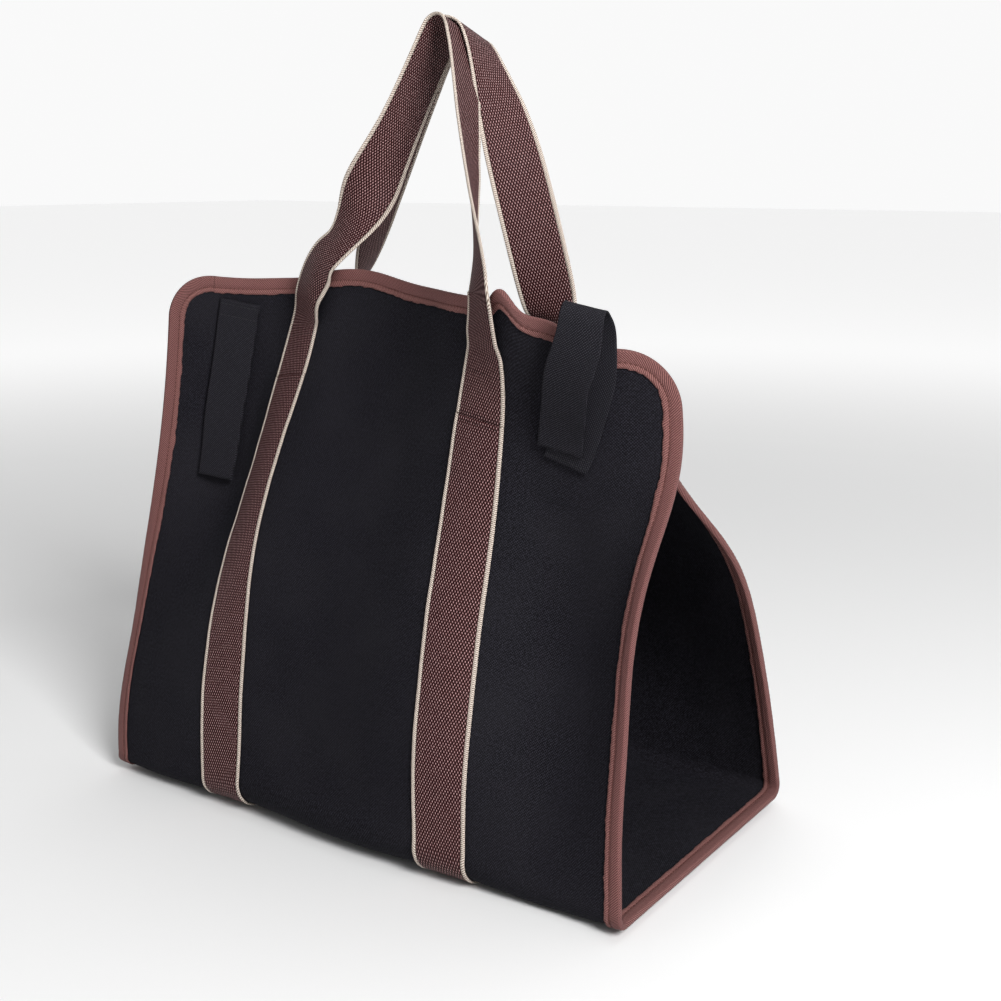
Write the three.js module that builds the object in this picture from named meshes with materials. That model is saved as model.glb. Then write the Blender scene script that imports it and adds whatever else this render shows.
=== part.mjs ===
// Firewood carrier: one canvas sheet folded into a front panel, a flat base and a back panel,
// a tape folded round its whole edge, two webbing bands sewn across its outer face, two
// webbing handles that leave the bands at the top edges and meet where the carrier hangs,
// and two small closing tabs on the front panel.
// Millimetres, +Z up, +X along the width of the carrier, -Y the front.
// The origin is the point under the handles where the carrier hangs.
import * as THREE from 'three';

// ---------------------------------------------------------------- driving sizes
const CLOTH_W = 460;          // width of the sheet
const CLOTH_WALL = 1.6;       // canvas wall
const CORNER_R = 34;          // radius of the sheet's four corners
const FRONT_L = 362.4;        // fold to top edge, front panel, at the middle
const BACK_L = 352;           // fold to top edge, back panel, at the middle
const SKEW = 0.047;           // the sheet hangs slightly askew: share of panel length gained or lost at its sides
const BASE_DEPTH = 236;       // outside depth of the flat base
const TAPE_W = 12;            // visible width of the edge tape
const TAPE_WALL = 0.9;
const TAPE_GAP = 0.4;         // between the canvas and the inside of the tape's fold
const WEB_W = 40;             // webbing width
const WEB_WALL = 1.6;
const BAND_LEFT = -110;       // centre lines of the two bands on the sheet
const BAND_RIGHT = 95;
const SEAM_V = 74;            // handle ends are sewn to the bands this far below the top edge
const GAP = 0.3;              // gap between pieces that touch
const HANG = new THREE.Vector3(19.5, 118, 541.2);   // hanging point, in the working frame of the sheet
const HANG_TILT = 19;         // degrees, the handles' rest slopes down toward the back
const HANG_R = 9;             // inner radius of the handles' top bend
const TAB_W = 30;             // closing tabs

// ---------------------------------------------------------------- cloth tables
// stations across the sheet where the tables give a value
const ACROSS = [
  ['left', -230], ['left_mid', -166], ['left_band', -102], ['middle', 0],
  ['right_band', 102], ['right_mid', 166], ['right', 230],
];
// at: share of the panel's length above its fold; columns: lean in degrees from upright,
// positive toward the inside of the carrier; shift: sideways place of the middle line
const FRONT = [
  { at: 0.000, left: 8, left_mid: 5, left_band: 15, middle: 27, right_band: 12, right_mid: 27, right: 18, shift: 5.6 },
  { at: 0.118, left: 18, left_mid: 12, left_band: 10, middle: 15, right_band: 11, right_mid: 26, right: 22, shift: -0.2 },
  { at: 0.250, left: 20, left_mid: 21, left_band: 11, middle: 14, right_band: 13, right_mid: 20, right: 18, shift: -2.6 },
  { at: 0.395, left: 13, left_mid: 27, left_band: 14, middle: 15, right_band: 12, right_mid: 13, right: 9, shift: -3.9 },
  { at: 0.539, left: 3, left_mid: 22, left_band: 20, middle: 15, right_band: 9, right_mid: 3, right: 6, shift: -1.8 },
  { at: 0.684, left: -1, left_mid: 12, left_band: 21, middle: 14, right_band: 3, right_mid: -7, right: 9, shift: 3.2 },
  { at: 0.842, left: -4, left_mid: 4, left_band: 18, middle: 12, right_band: 0, right_mid: -12, right: 6, shift: 11.7 },
  { at: 1.000, left: -6, left_mid: -1, left_band: 8, middle: 10, right_band: -7, right_mid: -12, right: -2, shift: 19.2 },
];
const BACK = [
  { at: 0.000, left: 9, left_mid: 3, left_band: -2, middle: -9, right_band: -14, right_mid: -2, right: 16, shift: -5.8 },
  { at: 0.118, left: 12, left_mid: 8, left_band: 4, middle: -4, right_band: -5, right_mid: 3, right: 14, shift: -4.5 },
  { at: 0.250, left: 15, left_mid: 13, left_band: 10, middle: 3, right_band: 7, right_mid: 11, right: 18, shift: -3.2 },
  { at: 0.395, left: 18, left_mid: 17, left_band: 14, middle: 11, right_band: 18, right_mid: 22, right: 25, shift: -1.7 },
  { at: 0.539, left: 20, left_mid: 20, left_band: 16, middle: 16, right_band: 26, right_mid: 30, right: 39, shift: 0.5 },
  { at: 0.684, left: 22, left_mid: 23, left_band: 19, middle: 20, right_band: 31, right_mid: 35, right: 46, shift: 2.1 },
  { at: 0.842, left: 24, left_mid: 25, left_band: 21, middle: 25, right_band: 35, right_mid: 37, right: 36, shift: 3.7 },
  { at: 1.000, left: 25, left_mid: 26, left_band: 24, middle: 29, right_band: 36, right_mid: 37, right: 29, shift: 5.3 },
];
// the two folds at the base: radius of the bend, how far it stands out past the base line, and how
// far the base's outer face hangs below the working zero
const FOLDS = {
  front: { radius: { left: 7, left_mid: 12.6, left_band: 18.8, middle: 19.5, right_band: 17.8, right_mid: 12.6, right: 7 },
           out: { left: 6, left_mid: 10.4, left_band: 11.7, middle: 18.5, right_band: 14, right_mid: 7, right: 8 },
           down: { left: 3, left_mid: 5, left_band: 5, middle: 6.5, right_band: 5.5, right_mid: 8.5, right: 3 } },
  back: { radius: { left: 8, left_mid: 13, left_band: 18, middle: 18, right_band: 18, right_mid: 13, right: 8 },
          out: { left: 0, left_mid: 3, left_band: 6, middle: 8, right_band: 6, right_mid: 3, right: 0 },
          down: { left: 3, left_mid: 4.5, left_band: 5, middle: 5.5, right_band: 5, right_mid: 5, right: 3 } },
};
// small pulls in the cloth: panel and place on it (v from that panel's top edge), reach, lift up, push outward
const PULLS = [
  { side: 'f', u: 120, v: 0, across: 8, along: 42, lift: 19, push: 0, strap: false },   // the straps don't follow this one
  { side: 'f', u: 152, v: 0, across: 24, along: 45, lift: 9, push: 0, strap: false },
  { side: 'f', u: -60, v: 0, across: 34, along: 50, lift: 5, push: 0 },
  { side: 'f', u: -165, v: 0, across: 30, along: 60, lift: 2.5, push: 0 },
  { side: 'f', u: -136, v: 0, across: 21, along: 52, lift: 0, push: -6 },
  { side: 'f', u: -84, v: 0, across: 21, along: 52, lift: 0, push: 6 },
  { side: 'f', u: 71, v: 0, across: 20, along: 40, lift: 0, push: -5.5 },
  { side: 'f', u: 120, v: 0, across: 18, along: 42, lift: 0, push: 6.5 },
  { side: 'f', u: -230, v: 135, across: 42, along: 115, lift: 0, push: 9.5 },
  { side: 'f', u: 230, v: 52, across: 38, along: 56, lift: 0, push: -10.5 },
  { side: 'b', u: -130, v: 0, across: 22, along: 55, lift: 0, push: 9 },
  { side: 'b', u: -86, v: 0, across: 22, along: 55, lift: 0, push: -9 },
];
// turn of each handle leg from its sewn end (0, lying along the sheet) to the hanging point (90), for
// the half of the webbing nearer the left of the carrier (low) and the other half (high); wide is the
// share of its width that the webbing keeps where it curls
const TURNS = {
  front_left: [{ at: 0, low: 0, high: 0, wide: 1 }, { at: 0.1, low: 0, high: 14, wide: 1 }, { at: 0.22, low: 22, high: 40, wide: 1 },
    { at: 0.34, low: 58, high: 70, wide: 1 }, { at: 0.46, low: 78, high: 84, wide: 1 }, { at: 0.62, low: 87, high: 89, wide: 1 },
    { at: 1, low: 90, high: 90, wide: 1 }],
  front_right: [{ at: 0, low: 0, high: 0, wide: 1 }, { at: 0.2, low: 20, high: 12, wide: 1 }, { at: 0.35, low: 40, high: 32, wide: 1 },
    { at: 0.55, low: 62, high: 62, wide: 1 }, { at: 0.75, low: 77, high: 77, wide: 1 }, { at: 1, low: 90, high: 90, wide: 1 }],
  back_left: [{ at: 0, low: 0, high: 0, wide: 1 }, { at: 0.08, low: 36, high: 36, wide: 0.9 }, { at: 0.2, low: 62, high: 62, wide: 0.88 },
    { at: 0.5, low: 80, high: 80, wide: 1 }, { at: 1, low: 90, high: 90, wide: 1 }],
  back_right: [{ at: 0, low: 0, high: 0, wide: 1 }, { at: 0.1, low: 30, high: 30, wide: 1 }, { at: 0.2, low: 40, high: 40, wide: 1 },
    { at: 0.4, low: 46, high: 46, wide: 1 }, { at: 0.55, low: 52, high: 52, wide: 1 }, { at: 0.7, low: 66, high: 66, wide: 1 },
    { at: 0.82, low: 80, high: 80, wide: 1 }, { at: 1, low: 90, high: 90, wide: 1 }],
};
// free path of each leg: angle where it leaves the top bend, how stiffly it starts and ends, how far its
// lower part bows sideways, and how far the strap has drifted sideways and stands off where it passes the
// top edge
const LEGS = {
  front_left: { leave: 153, start: 0.12, finish: 0.1, bow: 34, drift: 10, rise: 3.8 },
  front_right: { leave: 27, start: 0.06, finish: 0.1, bow: 0, drift: 0, rise: 0.3 },
  back_left: { leave: 153, start: 0.06, finish: 0.1, bow: -5, drift: 0, rise: 0 },
  back_right: { leave: 54, start: 0.1, finish: 0.17, bow: 6, drift: 0, rise: 0 },
};
// place of each handle along the top bend where its two legs leave it (0 at the hanging point)
const SLIDE = { front: { left: -6.5, right: -8 }, back: { left: -3, right: 8 } };
// closing tabs: u, v on the sheet, off: clearance between the sheet's outer face and the tab's near face
const TAB_LEFT = [
  { u: -175, v: 17, off: 2.4 }, { u: -176, v: 30, off: 2.8 }, { u: -177, v: 50, off: 3.6 }, { u: -178, v: 75, off: 4.4 },
  { u: -179, v: 100, off: 4.8 }, { u: -179, v: 128, off: 5.0 }, { u: -179, v: 152, off: 5.4 },
];
const TAB_RIGHT = [
  { u: 158, v: 82, off: 1.4 }, { u: 162, v: 70, off: 1.4 }, { u: 167, v: 54, off: 1.5 }, { u: 173, v: 34, off: 1.8 },
  { u: 178, v: 16, off: 2.4 }, { u: 180, v: 0, off: 3.0 }, { u: 181, v: -14, off: 4.4 }, { u: 181, v: -23, off: 7.0, wide: 0.92 },
  { u: 181, v: -27, off: 11, wide: 0.88 }, { u: 180, v: -24.5, off: 15.2, wide: 0.88 }, { u: 178, v: -14, off: 18.2, wide: 0.92 },
  { u: 173, v: 5, off: 18.8 }, { u: 166, v: 24, off: 16.4 }, { u: 161, v: 44, off: 11.6 }, { u: 157, v: 60, off: 6.5 }, { u: 155, v: 73, off: 4.0 },
];

// ---------------------------------------------------------------- small maths
const D2R = Math.PI / 180;
const V = (x, y, z) => new THREE.Vector3(x, y, z);
function spline(xs, ys) {                       // natural cubic spline through a table
  const n = xs.length, m = new Array(n).fill(0), c = new Array(n).fill(0), d = new Array(n).fill(0);
  for (let i = 1; i < n - 1; i++) {
    const h0 = xs[i] - xs[i - 1], h1 = xs[i + 1] - xs[i];
    const r = 6 * ((ys[i + 1] - ys[i]) / h1 - (ys[i] - ys[i - 1]) / h0);
    const p = 2 * (h0 + h1) - h0 * c[i - 1];
    c[i] = h1 / p;
    d[i] = (r - h0 * d[i - 1]) / p;
  }
  for (let i = n - 2; i > 0; i--) m[i] = d[i] - c[i] * m[i + 1];
  return (x) => {
    let i = 0;
    while (i < n - 2 && x > xs[i + 1]) i++;
    const h = xs[i + 1] - xs[i], a = (xs[i + 1] - x) / h, b = (x - xs[i]) / h;
    return a * ys[i] + b * ys[i + 1] + ((a * a * a - a) * m[i] + (b * b * b - b) * m[i + 1]) * h * h / 6;
  };
}
const across = (row) => spline(ACROSS.map((a) => a[1]), ACROSS.map((a) => row[a[0]]));
const smooth = (t) => { const k = Math.min(1, Math.max(0, t)); return k * k * (3 - 2 * k); };

// ---------------------------------------------------------------- the bent sheet
// The sheet is worked out on a fine net: every column is bent in the upright plane by the lean
// table, then the columns are set side by side so that the cloth keeps its width.
const NU = 185, NP = 150, NC = 12, NB = 6;       // columns; rows of a panel, a fold, the base
const UCOL = Array.from({ length: NU }, (_, j) => -CLOTH_W / 2 + CLOTH_W * j / (NU - 1));
function panelNet(table, fold, length, skew) {
  const byRow = table.map(across);
  const shift = spline(table.map((r) => r.at), table.map((r) => r.shift));
  const radius = across(fold.radius), out = across(fold.out), down = across(fold.down);
  const Y = [], Z = [];
  for (let i = 0; i <= NC + NP; i++) { Y.push(new Array(NU)); Z.push(new Array(NU)); }
  UCOL.forEach((u, j) => {
    const lean = spline(table.map((r) => r.at), byRow.map((f) => f(u) * D2R));
    const r = radius(u), first = lean(0);
    for (let i = 0; i <= NC; i++) {              // bend from the flat base up to the first lean
      const a = -Math.PI / 2 + (first + Math.PI / 2) * i / NC;
      Y[i][j] = -out(u) + r - r * Math.cos(a);
      Z[i][j] = -down(u) + r + r * Math.sin(a);
    }
    const step = length * (1 + skew * u / (CLOTH_W / 2)) / NP;
    for (let i = 1; i <= NP; i++) {
      const a0 = lean((i - 1) / NP), a1 = lean(i / NP);
      Y[NC + i][j] = Y[NC + i - 1][j] + (Math.sin(a0) + Math.sin(a1)) / 2 * step;
      Z[NC + i][j] = Z[NC + i - 1][j] + (Math.cos(a0) + Math.cos(a1)) / 2 * step;
    }
  });
  return Y.map((_, i) => {                       // sideways places from the cloth's own width
    const s = shift(Math.max(0, i - NC) / NP), du = UCOL[1] - UCOL[0], half = (NU - 1) / 2;
    const xu = UCOL.map((__, j) => {
      const a = Math.max(0, j - 1), b = Math.min(NU - 1, j + 1), w = (b - a) * du;
      const yu = (Y[i][b] - Y[i][a]) / w, zu = (Z[i][b] - Z[i][a]) / w;
      return Math.sqrt(Math.max(0.05, 1 - yu * yu - zu * zu));
    });
    const X = new Array(NU).fill(0);
    for (let j = 1; j < NU; j++) X[j] = X[j - 1] + (xu[j] + xu[j - 1]) / 2 * du;
    const c = X[half];
    return UCOL.map((__, j) => V(X[j] - c + s, Y[i][j], Z[i][j]));
  });
}
const frontNet = panelNet(FRONT, FOLDS.front, FRONT_L, -SKEW).reverse();           // top edge first
const backNet = panelNet(BACK, FOLDS.back, BACK_L, SKEW).map((row) => row.map((p) => V(p.x, BASE_DEPTH - p.y, p.z)));
const net = [...frontNet];
for (let i = 1; i < NB; i++) net.push(frontNet[NC + NP].map((p, j) => p.clone().lerp(backNet[0][j], i / NB)));
net.push(...backNet);
const NR = net.length;
const run = UCOL.map((_, j) => {                 // length of cloth from the front top edge, per column
  const s = [0];
  for (let i = 1; i < NR; i++) s.push(s[i - 1] + net[i][j].distanceTo(net[i - 1][j]));
  return s;
});
function netNormal(grid, i, j) {
  const a = grid[Math.max(0, i - 1)][j], b = grid[Math.min(NR - 1, i + 1)][j];
  const c = grid[i][Math.max(0, j - 1)], d = grid[i][Math.min(NU - 1, j + 1)];
  return d.clone().sub(c).cross(a.clone().sub(b)).normalize();                     // out of the carrier
}
function pull(grid, f) {                         // one small pull, laid over the net
  return grid.map((row, i) => row.map((p, j) => {
    const v = f.side === 'f' ? run[j][i] : run[j][NR - 1] - run[j][i];
    const a = (UCOL[j] - f.u) / f.across, b = (v - f.v) / f.along, g = Math.exp(-a * a - b * b);
    return g > 1e-3 ? netNormal(grid, i, j).multiplyScalar(f.push * g).add(p).add(V(0, 0, f.lift * g)) : p;
  }));
}
const withNormals = (net) => ({ net, normals: net.map((row, i) => row.map((_, j) => netNormal(net, i, j))) });
const STRAPS = withNormals(PULLS.filter((f) => f.strap !== false).reduce(pull, net));          // what the straps lie on
const SHEET = withNormals(PULLS.filter((f) => f.strap === false).reduce(pull, STRAPS.net));
// rows of the solids are named by their place: 'f' front panel, 'b' back panel (mm from that top
// edge at the middle), 'n' a row of the net
function rowAt(place, u) {                       // fractional row of the net at column u
  const [side, s] = place;
  if (side === 'n') return s;
  const L = side === 'f' ? FRONT_L : BACK_L, k = side === 'f' ? -SKEW : SKEW;
  const full = 1 + k * u / (CLOTH_W / 2), w = Math.max(0, (s - CORNER_R) / (L - CORNER_R));
  const v = s * (1 + (full - 1) * w);            // true distance from the top edge
  const r = v / (L * full) * NP;
  return side === 'f' ? r : NR - 1 - r;
}
function onNet(grid, r, u) {
  const c = Math.min(NU - 1.0001, Math.max(0, (u + CLOTH_W / 2) / (CLOTH_W / (NU - 1))));
  const q = Math.min(NR - 1.0001, Math.max(0, r)), i = Math.floor(q), j = Math.floor(c), a = q - i, b = c - j;
  const top = grid[i][j].clone().lerp(grid[i][j + 1], b), low = grid[i + 1][j].clone().lerp(grid[i + 1][j + 1], b);
  return top.lerp(low, a);
}
function sheet(place, u, off = 0, on = SHEET) {   // a point off the sheet's outer face
  const r = rowAt(place, u);
  const p = onNet(on.net, r, u), n = onNet(on.normals, r, u).normalize();
  if (r < 0 || r > NR - 1) {                     // past the top edge: straight on
    const e = r < 0 ? 0 : NR - 1, g = r < 0 ? 4 : NR - 5;
    const dir = onNet(on.net, e, u).sub(onNet(on.net, g, u)).normalize();
    p.addScaledVector(dir, place[1] < 0 ? -place[1] : 0);
  }
  return p.addScaledVector(n, off);
}

// ---------------------------------------------------------------- solids
function solid(name, tris, color, roughness) {
  const pos = new Float32Array(tris.length * 9);
  tris.forEach((t, i) => t.forEach((p, k) => pos.set([p.x, p.y, p.z], i * 9 + k * 3)));
  const g = new THREE.BufferGeometry();
  g.setAttribute('position', new THREE.BufferAttribute(pos, 3));
  g.computeVertexNormals();
  const m = new THREE.Mesh(g, new THREE.MeshStandardMaterial({ color, roughness, metalness: 0 }));
  m.name = name;
  return m;
}
function quad(out, a, b, c, d) { out.push([a, b, c], [a, c, d]); }
// rings of points, each ring the outline of one section, joined in order and closed at both ends
function loft(rings, closed = false) {
  const out = [], n = rings[0].length;
  const last = closed ? rings.length : rings.length - 1;
  for (let i = 0; i < last; i++) {
    const A = rings[i], B = rings[(i + 1) % rings.length];
    for (let k = 0; k < n; k++) quad(out, A[k], A[(k + 1) % n], B[(k + 1) % n], B[k]);
  }
  return out;
}
function outward(tris) {                         // flip when the volume comes out negative
  let v = 0;
  for (const [a, b, c] of tris) v += a.dot(b.clone().cross(c));
  return v < 0 ? tris.map(([a, b, c]) => [a, c, b]) : tris;
}
// a flat strap: rows of three points on its near face and three on its far face
function strap(rows) {
  const out = [];
  for (let i = 0; i + 1 < rows.length; i++) {
    const A = rows[i], B = rows[i + 1];
    for (let k = 0; k < 2; k++) {
      quad(out, A.near[k], A.near[k + 1], B.near[k + 1], B.near[k]);
      // the far face is split along the same diagonal as the near face
      out.push([A.far[k], B.far[k + 1], A.far[k + 1]], [A.far[k], B.far[k], B.far[k + 1]]);
    }
    quad(out, A.near[0], B.near[0], B.far[0], A.far[0]);
    quad(out, B.near[2], A.near[2], A.far[2], B.far[2]);
  }
  const end = (R, flip) => {
    for (let k = 0; k < 2; k++) {
      const t = [[R.near[k], R.far[k], R.far[k + 1]], [R.near[k], R.far[k + 1], R.near[k + 1]]];
      t.forEach(([a, b, c]) => out.push(flip ? [a, c, b] : [a, b, c]));
    }
  };
  end(rows[0], false);
  end(rows[rows.length - 1], true);
  return outward(out);
}

// canvas: columns and rows of its net of facets; the bands' own columns are among them
const INNER = TAPE_W + 1;                        // the rim of the sheet that the tape covers
const RIM = 1.5;                                 // the sheet's edge inside the tape's fold
const COLS = [-217, -190, -160, BAND_LEFT - WEB_W / 2, BAND_LEFT, BAND_LEFT + WEB_W / 2, -60, -30, 0, 28, 54,
  BAND_RIGHT - WEB_W / 2, BAND_RIGHT, BAND_RIGHT + WEB_W / 2, 128, 148, 172, 197, 217];
const ARC = [INNER, 16.5, 21, 27, CORNER_R];
const PANEL_ROWS = [...ARC, 54, SEAM_V, 98, 122, 146, 170, 194, 218, 242, 266, 290, 314, 336];
const ROWS = [
  ...PANEL_ROWS.map((s) => ['f', s]),
  ...[0, 2.4, 4.8, 7.2, 9.6, 12].map((k) => ['n', NP + k]),
  ...[2, 4].map((k) => ['n', NP + NC + k]),
  ...[0, 2.4, 4.8, 7.2, 9.6, 12].map((k) => ['n', NP + NC + NB + k]),
  ...PANEL_ROWS.slice().reverse().map((s) => ['b', s]),
];
function halfWidth(place) {                      // of the sheet inside the rim, at a row
  const inner = CLOTH_W / 2 - INNER, r = CORNER_R - INNER;
  const s = place[0] === 'n' ? 1e3 : place[1];
  return s >= CORNER_R ? inner : inner - r + Math.sqrt(Math.max(0, r * r - (CORNER_R - s) ** 2));
}
function colAt(place, u) {                       // outer columns close up where the corner rounds
  const h = halfWidth(place), inner = CLOTH_W / 2 - INNER, k = 150;
  return Math.abs(u) <= k ? u : Math.sign(u) * (k + (Math.abs(u) - k) * (h - k) / (inner - k));
}
// points round the rim of the inner sheet, with the direction outward in the sheet
const rimPoints = [];
const dirAt = (place, sign) => {
  const s = place[0] === 'n' ? 1e3 : place[1], r = CORNER_R - INNER;
  if (s >= CORNER_R) return [sign, 0];
  const c = (CORNER_R - s) / r;
  return [sign * Math.sqrt(Math.max(0, 1 - c * c)), c];
};
COLS.forEach((u, j) => rimPoints.push({ i: 0, j }));
for (let i = 1; i < ROWS.length - 1; i++) rimPoints.push({ i, j: COLS.length - 1, side: 1 });
for (let j = COLS.length - 1; j >= 0; j--) rimPoints.push({ i: ROWS.length - 1, j });
for (let i = ROWS.length - 2; i >= 1; i--) rimPoints.push({ i, j: 0, side: -1 });
function rim(p, beyond, off) {                   // a point on the rim, moved outward in the sheet
  const place = ROWS[p.i], u = colAt(place, COLS[p.j]);
  const [du, dv] = p.side ? dirAt(place, p.side) : [0, 1];
  if (place[0] === 'n') return sheet(place, u + du * beyond, off);
  return sheet([place[0], place[1] - dv * beyond], u + du * beyond, off);
}
function canvasSolid() {
  const out = [], inOff = -CLOTH_WALL;
  const face = (off) => ROWS.map((pl) => COLS.map((u) => sheet(pl, colAt(pl, u), off)));
  const A = face(0), B = face(inOff);
  for (let i = 0; i + 1 < ROWS.length; i++) for (let j = 0; j + 1 < COLS.length; j++) {
    quad(out, A[i][j], A[i][j + 1], A[i + 1][j + 1], A[i + 1][j]);
    out.push([B[i][j], B[i + 1][j + 1], B[i][j + 1]], [B[i][j], B[i + 1][j], B[i + 1][j + 1]]);
  }
  const edgeA = rimPoints.map((p) => rim(p, INNER - RIM, 0)), edgeB = rimPoints.map((p) => rim(p, INNER - RIM, inOff));
  const n = rimPoints.length;
  for (let k = 0; k < n; k++) {
    const p = rimPoints[k], q = rimPoints[(k + 1) % n], m = (k + 1) % n;
    const a = A[p.i][p.j], b = A[q.i][q.j], c = B[p.i][p.j], d = B[q.i][q.j];
    out.push([edgeA[k], edgeA[m], b], [edgeA[k], b, a]);
    out.push([edgeB[k], d, edgeB[m]], [edgeB[k], c, d]);
    quad(out, edgeA[m], edgeA[k], edgeB[k], edgeB[m]);
  }
  return outward(out);
}
function tapeSolid() {                           // a U section all the way round
  const rings = rimPoints.map((p) => {
    const at = (beyond, off) => rim(p, beyond, off);
    const g = TAPE_GAP, o = g + TAPE_WALL, e = INNER, h = CLOTH_WALL;
    return [
      at(1, g), at(e - RIM + g, g), at(e - RIM + g, -h - g), at(1, -h - g),
      at(1, -h - o), at(e - 0.5, -h - o), at(e, -h / 2), at(e - 0.5, o), at(1, o),
    ];
  });
  return outward(tapeTriangles(rings));
}
function tapeTriangles(rings) {                  // facets split along the same diagonals as the canvas rim
  const out = [], n = rings[0].length, m = rings.length;
  for (let i = 0; i < m; i++) {
    const P = rings[i], Q = rings[(i + 1) % m];
    for (let k = 0; k < n; k++) {
      const l = (k + 1) % n;
      const outerFirst = k === 0 || k === 5;     // section runs outward here: diagonal starts at its outer end
      if (outerFirst) out.push([P[l], P[k], Q[k]], [P[l], Q[k], Q[l]]);
      else out.push([P[k], Q[k], Q[l]], [P[k], Q[l], P[l]]);
    }
  }
  return out;
}
const bandOff = (s) => GAP + (TAPE_WALL + 4.5 * GAP) * smooth((32 - s) / 14);   // rises over the tape near a top edge
function webRow(place, centre, off, lean = 0) {    // lean: how far each end of the row is turned down or up the sheet
  const at = (h) => [-1, 0, 1].map((k) => sheet(place[0] === 'n' ? place : [place[0], place[1] + k * WEB_W / 2 * lean],
    centre + k * WEB_W / 2, h, STRAPS));
  return { near: at(off), far: at(off + WEB_WALL) };
}
function bandSolid(centre) {
  const rows = ROWS.filter((pl) => pl[0] === 'n' || pl[1] >= SEAM_V);
  return strap(rows.map((pl) => webRow(pl, centre, GAP)));
}
// handles: sewn ends on the sheet, then a free leg to the hanging point, over it and down
const tilt = HANG_TILT * D2R;
const AXIS = V(0, Math.cos(tilt), -Math.sin(tilt)), UP = V(0, Math.sin(tilt), Math.cos(tilt)), SIDE = V(1, 0, 0);
function legRows(side, centre, slide, radius, legName, endSign) {
  const leg = LEGS[legName];
  const loose = (s) => Math.max(0, (44 - s) / 51);   // above the stitching the strap is free of the sheet
  const sewn = [SEAM_V - GAP, 54, CORNER_R, 27, 21, 16.5, INNER, RIM, -7].map((s) =>
    webRow([side, s], centre + leg.drift * loose(s) ** 2, bandOff(s) + leg.rise * smooth(loose(s) * 1.2), 2 * leg.drift * loose(s) / 51));
  const topMid = rowMid(sewn[sewn.length - 1]), below = rowMid(sewn[sewn.length - 2]);
  const start = topMid.p, dir0 = start.clone().sub(below.p).normalize(), w0 = topMid.w;
  const angle = leg.leave * D2R, table = TURNS[legName], ats = table.map((r) => r.at);
  const centreLine = HANG.clone().addScaledVector(AXIS, slide).addScaledVector(UP, -HANG_R);
  const end = centreLine.clone().addScaledVector(SIDE, radius * Math.cos(angle)).addScaledVector(UP, radius * Math.sin(angle));
  const s = Math.cos(angle) < 0 ? 1 : -1;
  const dir1 = SIDE.clone().multiplyScalar(s * Math.sin(angle)).addScaledVector(UP, -s * Math.cos(angle));
  const reach = end.distanceTo(start), w1 = AXIS.clone().multiplyScalar(endSign);
  const low = spline(ats, table.map((r) => r.low)), high = spline(ats, table.map((r) => r.high)), wide = spline(ats, table.map((r) => r.wide));
  const curve = new THREE.CubicBezierCurve3(start, start.clone().addScaledVector(dir0, reach * leg.start).addScaledVector(SIDE, leg.bow),
    end.clone().addScaledVector(dir1, -reach * leg.finish), end);
  const between = (turn) => w0.clone().multiplyScalar(Math.cos(turn * D2R)).addScaledVector(w1, Math.sin(turn * D2R));
  const free = [];
  const steps = 20;
  for (let i = 1; i <= steps; i++) {
    const t = i / steps;
    free.push(ribbonRow(curve.getPoint(t), curve.getTangent(t), between(low(t)), between(high(t)), side, wide(t)));
  }
  return { sewn, free, centreLine, w1, angle };
}
function rowMid(r) {
  const p = r.near[1].clone().add(r.far[1]).multiplyScalar(0.5);
  const w = r.near[2].clone().add(r.far[2]).sub(r.near[0]).sub(r.far[0]).normalize();
  return { p, w };
}
function ribbonRow(p, d, wLow, wHigh, side, wide = 1) {   // a section of webbing across a free path, each half at its own turn
  const flat = (w) => w.clone().addScaledVector(d, -w.dot(d)).normalize();
  const a = flat(wLow), b = flat(wHigh), s = side === 'f' ? 1 : -1;
  const na = a.clone().cross(d).normalize().multiplyScalar(s), nb = b.clone().cross(d).normalize().multiplyScalar(s);
  const nm = na.clone().add(nb).normalize();
  nm.multiplyScalar(1 / Math.max(0.6, nm.dot(na)));
  const half = WEB_W / 2 * wide;
  const row = (h) => [p.clone().addScaledVector(a, -half).addScaledVector(na, h), p.clone().addScaledVector(nm, h),
    p.clone().addScaledVector(b, half).addScaledVector(nb, h)];
  return { near: row(-WEB_WALL / 2), far: row(WEB_WALL / 2) };
}
function handleSolid(side, slide, layer, names, signs) {
  const radius = HANG_R + WEB_WALL / 2 + layer * (WEB_WALL + 1);
  const left = legRows(side, BAND_LEFT, slide.left, radius, names[0], signs[0]);
  const right = legRows(side, BAND_RIGHT, slide.right, radius, names[1], signs[1]);
  const over = [];
  const steps = 8;
  for (let i = 1; i < steps; i++) {              // across the top, left to right
    const a = left.angle + (right.angle - left.angle) * i / steps;
    const p = left.centreLine.clone().lerp(right.centreLine, i / steps).addScaledVector(SIDE, radius * Math.cos(a)).addScaledVector(UP, radius * Math.sin(a));
    const d = SIDE.clone().multiplyScalar(Math.sin(a)).addScaledVector(UP, -Math.cos(a));
    over.push(ribbonRow(p, d, left.w1, left.w1, side));
  }
  // going down the right leg the path direction turns round, so its rows are mirrored to match
  const mirror = (r) => ({ near: r.near.slice().reverse(), far: r.far.slice().reverse() });
  const down = [...right.sewn, ...right.free].reverse().map(mirror);
  return strap([...left.sewn, ...left.free, ...over, ...down]);
}
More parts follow.
